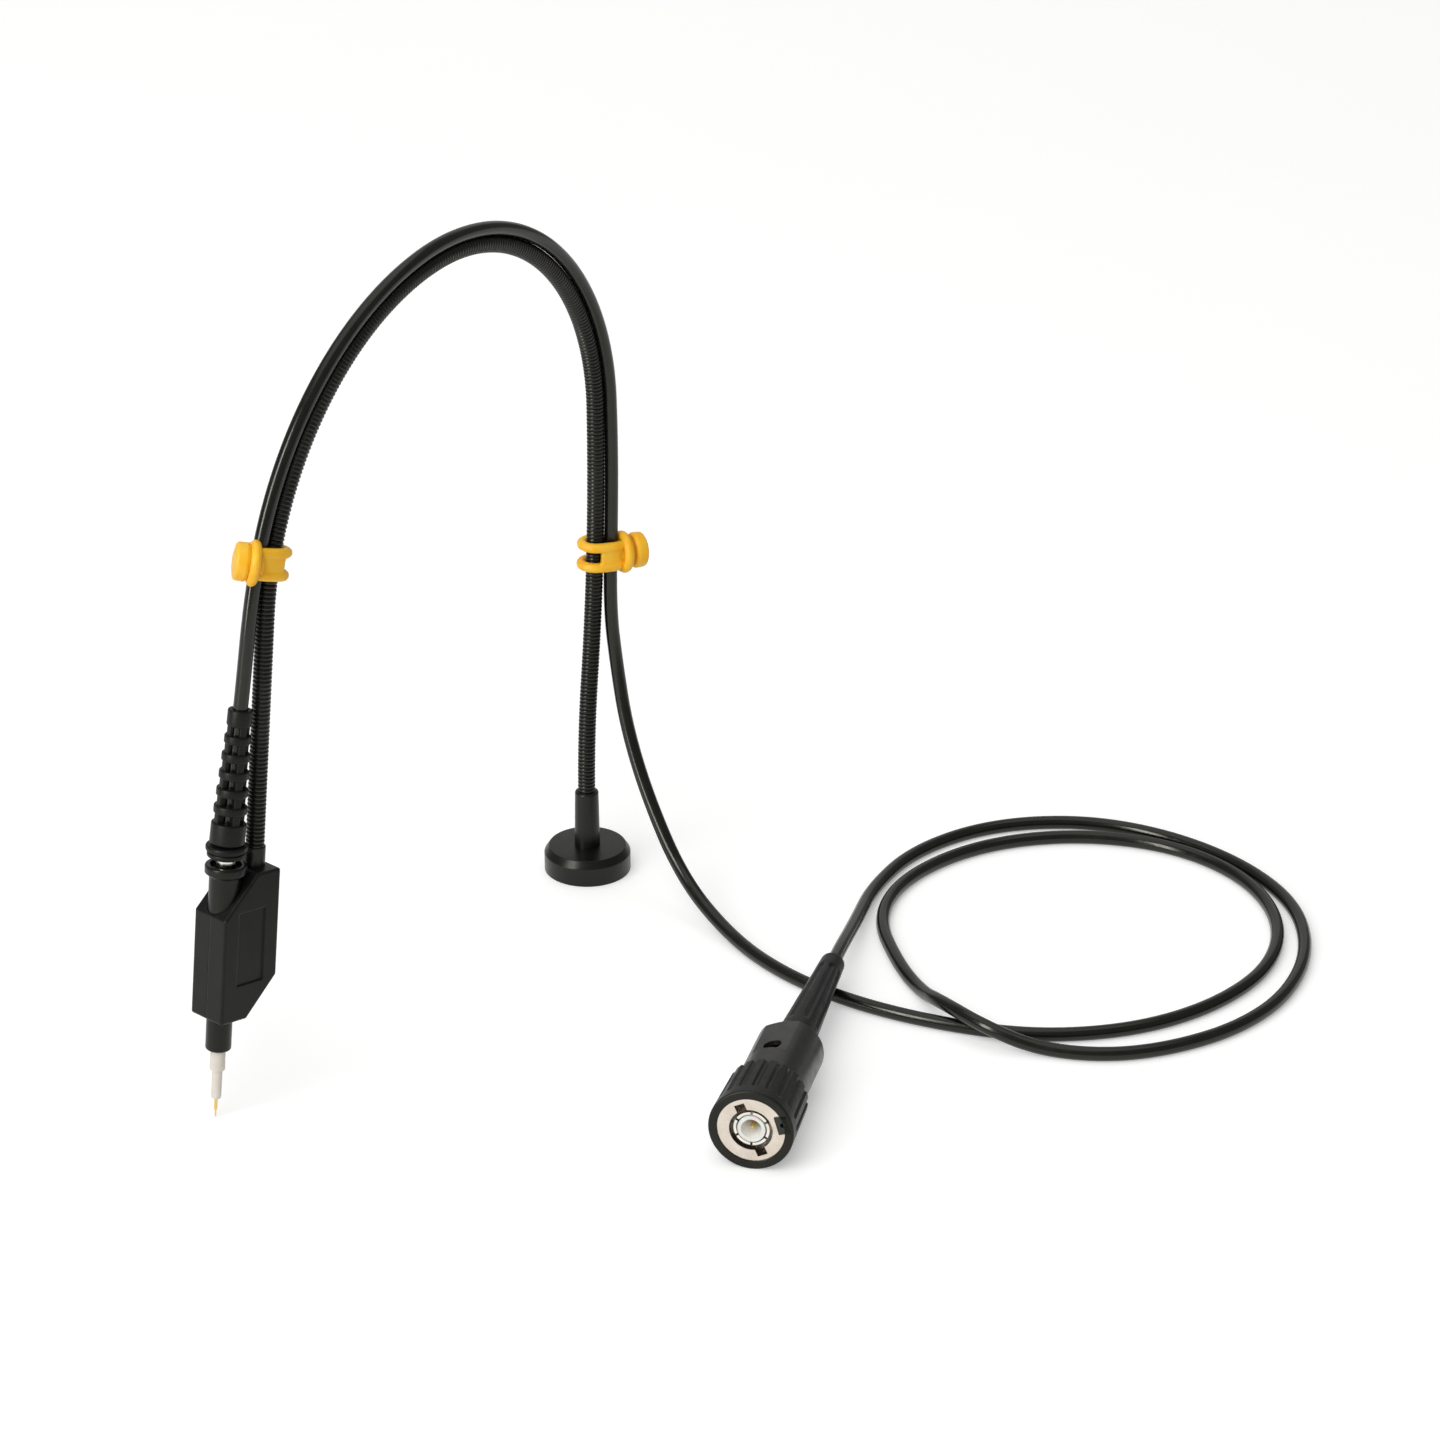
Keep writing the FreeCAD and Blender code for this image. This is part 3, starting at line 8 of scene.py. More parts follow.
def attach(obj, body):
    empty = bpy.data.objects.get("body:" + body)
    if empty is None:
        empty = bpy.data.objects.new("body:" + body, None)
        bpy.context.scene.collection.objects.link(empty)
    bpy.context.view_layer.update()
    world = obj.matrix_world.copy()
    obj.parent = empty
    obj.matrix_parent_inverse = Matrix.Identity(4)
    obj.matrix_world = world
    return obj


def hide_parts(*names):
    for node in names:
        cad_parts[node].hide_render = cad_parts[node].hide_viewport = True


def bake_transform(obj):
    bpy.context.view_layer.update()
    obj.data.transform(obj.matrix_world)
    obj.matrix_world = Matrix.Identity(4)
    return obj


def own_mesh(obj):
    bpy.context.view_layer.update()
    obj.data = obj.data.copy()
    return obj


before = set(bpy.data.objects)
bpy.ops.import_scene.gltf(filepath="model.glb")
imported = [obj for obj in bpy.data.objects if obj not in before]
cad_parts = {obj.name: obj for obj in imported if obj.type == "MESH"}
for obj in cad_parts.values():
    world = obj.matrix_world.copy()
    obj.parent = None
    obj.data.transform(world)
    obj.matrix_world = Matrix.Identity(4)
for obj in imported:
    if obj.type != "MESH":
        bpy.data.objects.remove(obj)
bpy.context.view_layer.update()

# A hands-free probe for circuit boards. Lengths are in millimetres and become metres on the mesh.
MM = 0.001
IDENTITY = Matrix.Identity(4)

# Sizes of the foot, arm, head and plug that more than one piece needs, the same as in the CAD

ARM_RADIUS = 2.0
LEAD_RADIUS = 1.65
STEM_TOP = 21.0
BENDS = [(29.2, -7.0), (69.4, 7.8), (92.2, 93.1), (97.4, 78.5)]
NEAR_TIE_AT = 61.3
FAR_TIE_AT = 275.5
ARM_SINK_IN_STEM = 10.0
ARM_SINK_IN_HEAD = 8.0
LEAD_BESIDE_ARM = 3.85
NEAR_TIE_TURN = -42.0
FAR_TIE_TURN = 11.0
HEAD_TOP = 58.7
HEAD_YAW = -10.6
ARM_FROM_NEEDLE = 8.3
COLLAR_TOP = 65.35
BOOT_GAP = 0.32
BOOT_LEAN = 4.4
BOOT_TURN = 32.0
BOOT_LENGTH = 30.6
PLUG_FACE = (-97.5, -110.2)
PLUG_HEADING = 19.4
GRIP_RADIUS = 9.65
GRIP_REAR_RADIUS = 9.19
GRIP_LENGTH = 16.5
TAIL_FRONT = 39.5
TAIL_LENGTH = 43.0


# Helpers for colours and materials


def sheet_colour(code):
    """An sRGB hex colour as linear RGBA."""
    channels = [int(code[start:start + 2], 16) / 255 for start in (1, 3, 5)]
    linear = [c / 12.92 if c <= 0.04045 else ((c + 0.055) / 1.055) ** 2.4 for c in channels]
    return (*linear, 1.0)


def add_node(tree, kind, inputs=None, stops=(), **settings):
    """One shader node, with its settings, its socket values, its links and the stops of its ramp."""
    item = tree.nodes.new(kind)
    for name, value in settings.items():
        setattr(item, name, value)
    for name, value in (inputs or {}).items():
        if isinstance(value, bpy.types.NodeSocket):
            tree.links.new(value, item.inputs[name])
        else:
            item.inputs[name].default_value = value
    for index, (place, colour) in enumerate(stops):
        item.color_ramp.elements[index].position = place
        item.color_ramp.elements[index].color = colour
    return item


# How much each finer octave of a pattern counts
OCTAVE_GAIN = 0.55


def new_material(name, **constants):
    """A material with its shader, its tree and object coordinates in millimetres."""
    material = bpy.data.materials.new(name)
    material.use_nodes = True
    tree = material.node_tree
    shader = tree.nodes["Principled BSDF"]
    for socket, value in constants.items():
        shader.inputs[socket.replace("_", " ")].default_value = value
    place = add_node(tree, "ShaderNodeTexCoord").outputs["Object"]
    in_mm = add_node(
        tree, "ShaderNodeVectorMath", {0: place, 1: (1 / MM, 1 / MM, 1 / MM)}, operation="MULTIPLY")
    return material, tree, shader, in_mm.outputs[0]


def mottle(tree, shader, place, size_mm, detail, low, high):
    """A base colour that drifts between two tones, in clouds about size_mm across."""
    clouds = add_node(tree, "ShaderNodeTexNoise", {
        "Vector": place, "Scale": 1 / size_mm, "Detail": detail, "Roughness": OCTAVE_GAIN})
    tones = add_node(tree, "ShaderNodeValToRGB", {"Fac": clouds.outputs["Fac"]},
                     stops=[(0.3, sheet_colour(low)), (0.7, sheet_colour(high))])
    tree.links.new(tones.outputs["Color"], shader.inputs["Base Color"])


def uneven_gloss(tree, shader, place, size_mm, detail, low, high):
    """A roughness that drifts from low to high, in patches about size_mm across."""
    patches = add_node(tree, "ShaderNodeTexNoise", {
        "Vector": place, "Scale": 1 / size_mm, "Detail": detail, "Roughness": OCTAVE_GAIN})
    greys = add_node(tree, "ShaderNodeValToRGB", {"Fac": patches.outputs["Fac"]},
                     stops=[(0.3, (low, low, low, 1.0)), (0.7, (high, high, high, 1.0))])
    tree.links.new(greys.outputs["Color"], shader.inputs["Roughness"])


def relief(tree, shader, place, size_mm, detail, rise_mm, strength=1.0, edge_mm=0.0):
    """A grain about size_mm across and rise_mm high, on edges that catch the light over edge_mm."""
    grain = add_node(tree, "ShaderNodeTexNoise", {
        "Vector": place, "Scale": 1 / size_mm, "Detail": detail, "Roughness": OCTAVE_GAIN})
    raised = add_node(tree, "ShaderNodeBump", {
        "Height": grain.outputs["Fac"], "Strength": strength, "Distance": rise_mm * MM})
    if edge_mm:
        soft_edge = add_node(tree, "ShaderNodeBevel", {"Radius": edge_mm * MM}, samples=6)
        tree.links.new(soft_edge.outputs[0], raised.inputs["Normal"])
    tree.links.new(raised.outputs["Normal"], shader.inputs["Normal"])


# The black parts' gloss is a trace warm, as in the photograph
WARM_GLOSS = (1.0, 0.99, 0.88, 1.0)
# Millimetres: the clouds in a black finish, and the patches that handling has worn smoother
CLOUD = 6.0
WEAR_PATCH = 2.5


def black_finish(name, low, high, rough, grain_mm, grain_rise, specular, edge_mm=0.0):
    """A black finish: two mottled tones, an uneven gloss, and a fine grain of grain_mm, grain_rise high.

    The real grain is about 0.03 mm, too fine to show, so each is drawn coarser.
    """
    material, tree, shader, place = new_material(name, IOR=1.5, Specular_IOR_Level=specular)
    shader.inputs["Specular Tint"].default_value = WARM_GLOSS
    mottle(tree, shader, place, CLOUD, 3.0, low, high)
    uneven_gloss(tree, shader, place, WEAR_PATCH, 4.0, rough - 0.05, rough + 0.06)
    relief(tree, shader, place, grain_mm, 2.0, grain_rise, edge_mm=edge_mm)
    return material


# Tool marks are about 0.05 mm apart on the real metal; they are drawn coarser, so that they show
TOOL_MARK = 0.25
# Millimetres: the patches in which the plate has dulled
TARNISH_PATCH = 3.0


def plated(name, low, high, rough):
    """Bright metal: a mottled tone over faint tool marks, that also vary its gloss."""
    material, tree, shader, place = new_material(name, Metallic=1.0)
    mottle(tree, shader, place, TARNISH_PATCH, 3.0, low, high)
    uneven_gloss(tree, shader, place, TOOL_MARK, 3.0, rough - 0.04, rough + 0.08)
    relief(tree, shader, place, TOOL_MARK, 3.0, rise_mm=0.004, strength=0.5)
    return material


# Black ABS of the head, moulded in a finely spark-eroded tool: satin, slightly grey where it is lit
head_abs = black_finish(
    "moulded_abs_black", "#0F1010", "#151616", rough=0.36,
    grain_mm=0.16, grain_rise=0.006, specular=0.2, edge_mm=0.5)
# Black nylon of the nose, moulded smoother than the head
nose_nylon = black_finish(
    "moulded_nylon_black", "#0E0E0E", "#141413", rough=0.32,
    grain_mm=0.3, grain_rise=0.004, specular=0.25)
# Black glass-filled nylon of the plug's grip: dull and a little mottled
grip_nylon = black_finish(
    "moulded_grip_nylon", "#131312", "#1A1A18", rough=0.44,
    grain_mm=0.2, grain_rise=0.008, specular=0.26)
# Black polycarbonate of the trimmer housing: flat faces with a soft sheen
housing_polycarbonate = black_finish(
    "moulded_polycarbonate_black", "#141413", "#1A1A18", rough=0.34,
    grain_mm=0.18, grain_rise=0.004, specular=0.5, edge_mm=0.3)
# Thermoplastic elastomer of the boots: charcoal and satin
boot_elastomer = black_finish(
    "moulded_elastomer_charcoal", "#0E0F0F", "#141515", rough=0.42,
    grain_mm=0.25, grain_rise=0.005, specular=0.2)
# Black nylon of the readout block, duller than the parts round it; its base colour is lighter than theirs as
# a painted highlight on its face
block_nylon_painted_highlight = black_finish(
    "moulded_block_nylon_painted_highlight", "#1F2020", "#272828", rough=0.5,
    grain_mm=0.2, grain_rise=0.006, specular=0.4)
# Black nylon of the trimmer, with the shade of its hole painted in: a near-black base and almost no gloss,
# darker than the other black parts
trimmer_nylon_painted_shade = black_finish(
    "moulded_trimmer_nylon_painted_shade", "#040404", "#070707", rough=0.7,
    grain_mm=0.2, grain_rise=0.006, specular=0.04)
# Extruded PVC jacket of the lead: smooth, with a long gloss line along it
lead_pvc = black_finish(
    "extruded_pvc_black", "#10100F", "#161614", rough=0.2,
    grain_mm=1.2, grain_rise=0.0005, specular=0.4)
# Black-anodised aluminium of the foot, turned then bead-blasted: fine matt grain, soft edge light
foot_anodised = black_finish(
    "anodised_aluminium_black", "#0E0F0F", "#141514", rough=0.32,
    grain_mm=0.12, grain_rise=0.006, specular=0.3)
# Black-oxide spring steel of the arm, wound round its core: glossy crests between dark grooves
arm_oxide = black_finish(
    "black_oxide_steel", "#0D0D0D", "#141413", rough=0.3,
    grain_mm=0.2, grain_rise=0.003, specular=0.35)

# Nickel plate on turned brass: a warm, softly bright face
nickel = plated("plated_nickel_warm", "#D2C6B9", "#DFD5C9", rough=0.22)
# Polished nickel plate of the contact rings: nearly white, with sharp glints
bright_nickel = plated("plated_nickel_bright", "#E4DED2", "#F1ECE3", rough=0.16)
# Gold plate on the turned needle and pins: pale yellow
gold = plated("plated_gold", "#D6B05A", "#E8CC86", rough=0.22)
# Drawn spring steel of the coil and the wave washer: a cool grey shine
spring_steel = plated("drawn_spring_steel", "#9B9C9C", "#B4B5B5", rough=0.28)


def silicone_amber():
    """Amber silicone rubber, moulded: light enters it, so thin edges glow and hollows turn orange.

    A slight ripple of its skin, drawn coarser than real, softens its highlights.
    """
    material, tree, shader, place = new_material(
        "moulded_silicone_amber", Roughness=0.42, IOR=1.41, Subsurface_Weight=0.3, Subsurface_Scale=0.0018)
    shader.inputs["Subsurface Radius"].default_value = (1.0, 0.42, 0.06)
    mottle(tree, shader, place, size_mm=5.0, detail=2.0, low="#FFB91C", high="#FFC634")
    relief(tree, shader, place, size_mm=0.5, detail=2.0, rise_mm=0.01)
    return material


def ivory_resin():
    """Ivory insulating resin of the needle's sleeve, turned: faintly translucent and nearly smooth.

    The cut's fine grain is drawn coarser than real.
    """
    material, tree, shader, place = new_material(
        "turned_resin_ivory", Roughness=0.45, IOR=1.5, Subsurface_Weight=0.1, Subsurface_Scale=0.0005)
    mottle(tree, shader, place, size_mm=3.0, detail=3.0, low="#DCD3C7", high="#E6DFD4")
    relief(tree, shader, place, size_mm=0.2, detail=2.0, rise_mm=0.006)
    return material


def white_core():
    """White fluoropolymer of the plug's core, turned: soft and waxy."""
    material, tree, shader, place = new_material(
        "turned_fluoropolymer_white", Roughness=0.38, IOR=1.38,
        Subsurface_Weight=0.25, Subsurface_Scale=0.0008)
    mottle(tree, shader, place, size_mm=2.0, detail=3.0, low="#E4E3DD", high="#F1F0EB")
    return material


# The width of one glass yarn in the laminate, in millimetres
YARN_WIDTH = 0.157


def board_laminate():
    """Green-lacquered glass laminate of the circuit boards: the weave shows faintly under the lacquer."""
    material, tree, shader, place = new_material("lacquered_laminate_green", Roughness=0.3, IOR=1.5)
    # A wave texture of scale 1 repeats 20 times over a distance of 2 pi
    weave = add_node(tree, "ShaderNodeTexWave", {
        "Vector": place, "Scale": math.tau / 20 / YARN_WIDTH, "Distortion": 0.4})
    tones = add_node(tree, "ShaderNodeValToRGB", {"Fac": weave.outputs["Fac"]},
                     stops=[(0.2, sheet_colour("#0E4A2A")), (0.8, sheet_colour("#125533"))])
    tree.links.new(tones.outputs["Color"], shader.inputs["Base Color"])
    return material


tie_silicone = silicone_amber()
sleeve_resin = ivory_resin()
core_fluoropolymer = white_core()
laminate = board_laminate()


# Helpers for meshes


def piece(name, mesh, material, body, *nodes, sharp=35.0):
    """Link a finished mesh, shade it, and let it ride on a body for the nodes that it replaces."""
    item = bpy.data.objects.new(name, mesh)
    bpy.context.scene.collection.objects.link(item)
    mesh.materials.clear()
    mesh.materials.append(material)
    mesh.shade_smooth()
    mesh.set_sharp_from_angle(angle=math.radians(sharp))
    if body:
        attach(item, body)
    if nodes:
        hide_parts(*nodes)
    return item


def finish_mesh(name, build, place):
    """A mesh from a bmesh in millimetres, with outward normals, set in its place in metres."""
    bmesh.ops.remove_doubles(build, verts=build.verts, dist=1e-5)
    bmesh.ops.recalc_face_normals(build, faces=build.faces)
    mesh = bpy.data.meshes.new(name)
    build.to_mesh(mesh)
    build.free()
    mesh.transform(Matrix.Scale(MM, 4) @ place)
    return mesh


def rounded(corners, steps=5):
    """An outline in which each (x, y, radius) corner becomes an arc."""
    outline = []
    count = len(corners)
    for index, corner in enumerate(corners):
        here = Vector(corner[:2])
        radius = corner[2] if len(corner) > 2 else 0.0
        if not radius:
            outline.append(here)
            continue
        back = (Vector(corners[index - 1][:2]) - here).normalized()
        ahead = (Vector(corners[(index + 1) % count][:2]) - here).normalized()
        half = back.angle(ahead) / 2
        centre = here + (back + ahead).normalized() * (radius / math.sin(half))
        first = here + back * (radius / math.tan(half)) - centre
        last = here + ahead * (radius / math.tan(half)) - centre
        sweep = first.angle_signed(last)
        for step in range(steps + 1):
            turn = Matrix.Rotation(-sweep * step / steps, 2)
            outline.append(centre + turn @ first)
    return outline


def densified(outline, spacing):
    """The outline with extra points, so that no side is longer than the spacing."""
    dense = []
    for index, start in enumerate(outline):
        end = outline[(index + 1) % len(outline)]
        parts = max(1, math.ceil((end - start).length / spacing))
        dense += [start.lerp(end, part / parts) for part in range(parts)]
    return dense


def turned(name, corners, place, segments, spacing=None, shape=None):
    """A closed outline of (radius, height, rounding) turned about the Z axis."""
    outline = rounded(corners)
    if spacing:
        outline = densified(outline, spacing)
    build = bmesh.new()
    rings = []
    for radius, height in outline:
        ring = []
        for index in range(segments):
            angle = 2 * math.pi * index / segments
            reach, rise = shape(angle, radius, height) if shape else (radius, height)
            ring.append(build.verts.new((reach * math.cos(angle), reach * math.sin(angle), rise)))
        rings.append(ring)
    for ring, following in zip(rings, rings[1:] + rings[:1]):
        for index in range(segments):
            after = (index + 1) % segments
            build.faces.new((ring[index], ring[after], following[after], following[index]))
    bmesh.ops.remove_doubles(build, verts=build.verts, dist=1e-5)
    bmesh.ops.dissolve_degenerate(build, edges=build.edges, dist=1e-6)
    return finish_mesh(name, build, place)


def prism(name, corners, low, high, place):
    """A rounded outline extruded from low to high along Z."""
    outline = rounded(corners, 4)
    build = bmesh.new()
    bottom = [build.verts.new((x, y, low)) for x, y in outline]
    top = [build.verts.new((x, y, high)) for x, y in outline]
    for index in range(len(outline)):
        after = (index + 1) % len(outline)
        build.faces.new((bottom[index], bottom[after], top[after], top[index]))
    build.faces.new(bottom)
    build.faces.new(top)
    return finish_mesh(name, build, place)


def swept_tube(name, path, radii, sides=32, place=IDENTITY):
    """A tube along path points, with a radius for each, closed ends and no twist."""
    build = bmesh.new()
    tangent = (path[1] - path[0]).normalized()
    side = tangent.orthogonal().normalized()
    rings = []
    for index, point in enumerate(path):
        ahead = path[min(index + 1, len(path) - 1)]
        behind = path[max(index - 1, 0)]
        new_tangent = (ahead - behind).normalized()
        side = tangent.rotation_difference(new_tangent) @ side
        tangent = new_tangent
        other = tangent.cross(side)
        ring = []
        for step in range(sides):
            angle = 2 * math.pi * step / sides
            offset = side * math.cos(angle) + other * math.sin(angle)
            ring.append(build.verts.new(point + offset * radii[index]))
        rings.append(ring)
    for ring, following in zip(rings, rings[1:]):
        for step in range(sides):
            after = (step + 1) % sides
            build.faces.new((ring[step], ring[after], following[after], following[step]))
    build.faces.new(rings[0])
    build.faces.new(rings[-1])
    return finish_mesh(name, build, place)


def joined(name, *meshes):
    """Several meshes as one."""
    build = bmesh.new()
    for mesh in meshes:
        build.from_mesh(mesh)
    mesh = bpy.data.meshes.new(name)
    build.to_mesh(mesh)
    build.free()
    return mesh


def put_in_place(mesh, place):
    """Move a mesh, already in metres, by a placement in millimetres."""
    mesh.transform(Matrix.Scale(MM, 4) @ place @ Matrix.Scale(1 / MM, 4))


def axes(origin, x_axis, y_axis, z_axis):
    """A placement in millimetres from an origin and three unit vectors."""
    place = Matrix((x_axis, y_axis, z_axis)).transposed().to_4x4()
    place.translation = origin
    return place


# The arm's line


def along_arm(distance):
    """Place, direction and outward side of the arm's line, counted from the stem's top."""
    across, height, heading = 0.0, STEM_TOP, math.pi / 2
    left = distance
    for length, degrees in BENDS:
        step = min(left, length)
        if step <= 0:
            break
        curve = math.radians(degrees) / length
        after = heading + curve * step
        across += (math.sin(after) - math.sin(heading)) / curve
        height += (math.cos(heading) - math.cos(after)) / curve
        heading = after
        left -= step
    across += math.cos(heading) * left
    height += math.sin(heading) * left
    direction = Vector((math.cos(heading), 0, math.sin(heading)))
    outward = Vector((math.sin(heading), 0, -math.cos(heading)))
    return Vector((across, 0, height)), direction, outward


def lead_side(distance, turn):
    """Unit vector from the arm's line to the lead's."""
    outward = along_arm(distance)[2]
    return outward * math.cos(math.radians(turn)) + Vector((0, 1, 0)) * math.sin(math.radians(turn))


def beside_arm(distance, bow=0.0):
    """The lead's place beside the arm, round which it turns evenly from one tie to the other."""
    place, _, outward = along_arm(distance)
    share = (FAR_TIE_AT - distance) / (FAR_TIE_AT - NEAR_TIE_AT)
    turn = FAR_TIE_TURN + (NEAR_TIE_TURN - FAR_TIE_TURN) * share
    return place + lead_side(distance, turn) * LEAD_BESIDE_ARM + outward * bow


def run_on(before, end, distance):
    """The point that far past the end of a run."""
    return end + (end - before).normalized() * distance


# Placements of the head, the boot and the plug

BENT_LENGTH = sum(length for length, _ in BENDS)
HEAD_LEAN = math.pi - math.radians(sum(degrees for _, degrees in BENDS))
head_turn = Matrix.Rotation(HEAD_LEAN, 3, "Y") @ Matrix.Rotation(math.radians(HEAD_YAW), 3, "Z")
socket = head_turn @ Vector((ARM_FROM_NEEDLE, 0, HEAD_TOP))
ARM_LENGTH = BENT_LENGTH + (along_arm(BENT_LENGTH)[0].z - socket.z) / math.cos(HEAD_LEAN)
at_head = head_turn.to_4x4()
at_head.translation = along_arm(ARM_LENGTH)[0] - socket
at_socket = at_head @ Matrix.Translation((ARM_FROM_NEEDLE, 0, 0))
at_boot = (at_head @ Matrix.Translation((0, 0, COLLAR_TOP + BOOT_GAP))
           @ Matrix.Rotation(math.radians(BOOT_LEAN), 4, "Y")
           @ Matrix.Rotation(math.radians(BOOT_TURN), 4, "Z"))

grip_slope = math.atan((GRIP_RADIUS - GRIP_REAR_RADIUS) / GRIP_LENGTH)
heading = math.radians(PLUG_HEADING)
plug_back = Vector((math.cos(heading) * math.cos(grip_slope), math.sin(heading) * math.cos(grip_slope),
                    -math.sin(grip_slope)))
plug_right = plug_back.cross(Vector((0, 0, 1))).normalized()
plug_up = plug_right.cross(plug_back).normalized()
at_plug = axes((*PLUG_FACE, GRIP_RADIUS * math.cos(grip_slope)), plug_up, plug_back.cross(plug_up), plug_back)

# Camera: a long lens from the photograph's side, 26 degrees down

CAMERA_AT = (-0.8879, -0.6185, 0.5675)
CAMERA_DOWN = 26.0
CAMERA_HEADING = -56.85
LENS = 125.0
SENSOR = 36.0

lens = bpy.data.cameras.new("camera")
lens.lens = LENS
lens.sensor_width = SENSOR
lens.clip_end = 20
camera = bpy.data.objects.new("camera", lens)
camera.location = CAMERA_AT
camera.rotation_euler = (math.radians(90 - CAMERA_DOWN), 0, math.radians(CAMERA_HEADING))
bpy.context.scene.collection.objects.link(camera)
bpy.context.scene.camera = camera

# Lead: three stretches on one line, from the head's boot along the arm and over the table to the plug

ON_TABLE = LEAD_RADIUS * MM
OVER_LEAD = 0.0054
# The free lead's route from the near tie to the plug's tail, in metres
TABLE_ROUTE = [
    (0.0056, -0.0053, 0.054),
    (0.0034, -0.0096, 0.039),
    (0.0001, -0.018, 0.0235),
    (-0.0056, -0.0318, 0.008),
    (-0.0135, -0.0505, ON_TABLE),
    (-0.0216, -0.0695, ON_TABLE),
    (-0.0246, -0.09, ON_TABLE),
    (-0.0225, -0.112, ON_TABLE),
    (-0.0155, -0.1345, ON_TABLE),
    (0.0, -0.1525, ON_TABLE),
    (0.0205, -0.1625, ON_TABLE),
    (0.0435, -0.1645, ON_TABLE),
    (0.065, -0.156, ON_TABLE),
    (0.0805, -0.1385, ON_TABLE),
    (0.0855, -0.1155, ON_TABLE),
    (0.0775, -0.0925, ON_TABLE),
    (0.0595, -0.0755, ON_TABLE),
    (0.035, -0.069, ON_TABLE),
    (0.0135, -0.0745, ON_TABLE),
    (-0.0035, -0.091, ON_TABLE),
    (-0.0115, -0.102, ON_TABLE),
    (-0.0188, -0.1115, OVER_LEAD),
    (-0.0234, -0.1255, OVER_LEAD),
    (-0.02, -0.1375, ON_TABLE),
    (-0.0145, -0.152, ON_TABLE),
    (-0.0035, -0.163, ON_TABLE),
    (0.013, -0.1715, ON_TABLE),
    (0.0325, -0.174, ON_TABLE),
    (0.055, -0.1685, ON_TABLE),
    (0.0745, -0.155, ON_TABLE),
    (0.086, -0.1345, ON_TABLE),
    (0.0895, -0.111, ON_TABLE),
    (0.0845, -0.0895, ON_TABLE),
    (0.0695, -0.072, ON_TABLE),
    (0.048, -0.0638, ON_TABLE),
    (0.026, -0.0655, ON_TABLE),
    (0.006, -0.0732, 0.0039),
]
ARCH_RUNS = 11
RUN_PAST_FAR_TIE = 9.0
RUN_PAST_NEAR_TIE = 13.4
BOOT_LINE = [(0, 0, -0.15), (0.1, 0, 12.0), (-0.05, 0.1, 24.0), (0, 0, 35.6)]
LEAD_IN_PLUG = [88.5, 70.5, 53.0, 35.6]


def smooth_line(name, points, resolution):
    """The points of an open spline that follows the route."""
    curve = bpy.data.curves.new(name, "CURVE")
    curve.dimensions = "3D"
    spline = curve.splines.new("NURBS")
    spline.points.add(len(points) - 1)
    for knot, point in zip(spline.points, points):
        knot.co = (*point, 1.0)
    spline.order_u = 3
    spline.use_endpoint_u = True
    spline.resolution_u = resolution
    carrier = bpy.data.objects.new(name, curve)
    mesh = bpy.data.meshes.new_from_object(carrier)
    line = [vertex.co.copy() for vertex in mesh.vertices]
    bpy.data.objects.remove(carrier)
    bpy.data.curves.remove(curve)
    bpy.data.meshes.remove(mesh)
    return line


# Between the ties each corner stands out by the bow of its run, so that the lead clears the arm
arch_spacing = (FAR_TIE_AT - NEAR_TIE_AT) / ARCH_RUNS
arch_route = [beside_arm(FAR_TIE_AT)]
for step in range(ARCH_RUNS):
    distance = FAR_TIE_AT - (step + 0.5) * arch_spacing
    ahead = along_arm(distance + arch_spacing / 2)[1]
    behind = along_arm(distance - arch_spacing / 2)[1]
    arch_route.append(beside_arm(distance, behind.angle(ahead) * arch_spacing / 8))
arch_route.append(beside_arm(NEAR_TIE_AT))

head_route = [at_boot @ Vector(point) for point in BOOT_LINE]
head_route += [run_on(arch_route[1], arch_route[0], RUN_PAST_FAR_TIE), arch_route[0]]

near_exit = arch_route[-1]
free_route = [near_exit, run_on(arch_route[-2], near_exit, RUN_PAST_NEAR_TIE)]
free_route += [Vector(point) / MM for point in TABLE_ROUTE]
free_route += [at_plug @ Vector((0, 0, height)) for height in LEAD_IN_PLUG]


def lead_piece(name, route, resolution, nodes, body, other, start, end):
    """A stretch of the lead as a tube on its spline."""
    line = smooth_line(name + "_route", route, resolution)
    mesh = swept_tube(name + "_mesh", line, [LEAD_RADIUS] * len(line))
    item = piece(name, mesh, lead_pvc, None, *nodes)
    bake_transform(item)
    return item, line


# Where each bend starts and ends, in metres
FOOT_BEND = (0.0, 0, 0.024), (0.003, 0, 0.078)
FREE_LEAD_BEND = (-0.006, -0.033, 0.008), (0.0075, -0.0026, 0.080)
CROWN_BEND = (-0.002, 0, 0.16), (-0.112, 0, 0.16)
HEAD_BEND = (-0.1185, 0, 0.121), (-0.1195, 0, 0.098)
free_lead, free_line = lead_piece(
    "free_lead", free_route, 10, ["lead_on_table", "lead_in_plug"], "base", "near_arm", *FREE_LEAD_BEND)
lead_piece("arch_lead", arch_route, 16, ["lead_over_arch"], "near_arm", "far_arm", *CROWN_BEND)
lead_piece("head_lead", head_route, 16, ["lead_at_head"], "far_arm", "probe_head", *HEAD_BEND)

# Arm: wound ribs over a core, in the three stretches that bend

RIB_PITCH = 0.95
RIB_DEPTH = 0.4
RIB_CREST = 2.12
RIB_STEPS = 8
RIB_FULLNESS = 0.4


def ribbed_stretch(name, start, end, body, other, node, bend_from, bend_to):
    """A stretch of the arm; the wire's turns show as rounded ribs."""
    count = round((end - start) / RIB_PITCH) * RIB_STEPS
    path, radii = [], []
    for index in range(count + 1):
        distance = start + (end - start) * index / count
        path.append(along_arm(distance)[0])
        swell = abs(math.sin(math.pi * distance / RIB_PITCH))
        radii.append(RIB_CREST - RIB_DEPTH + RIB_DEPTH * swell ** RIB_FULLNESS)
    mesh = swept_tube(name + "_mesh", path, radii, sides=36)
    item = piece(name, mesh, arm_oxide, None, node, sharp=60.0)
    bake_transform(item)


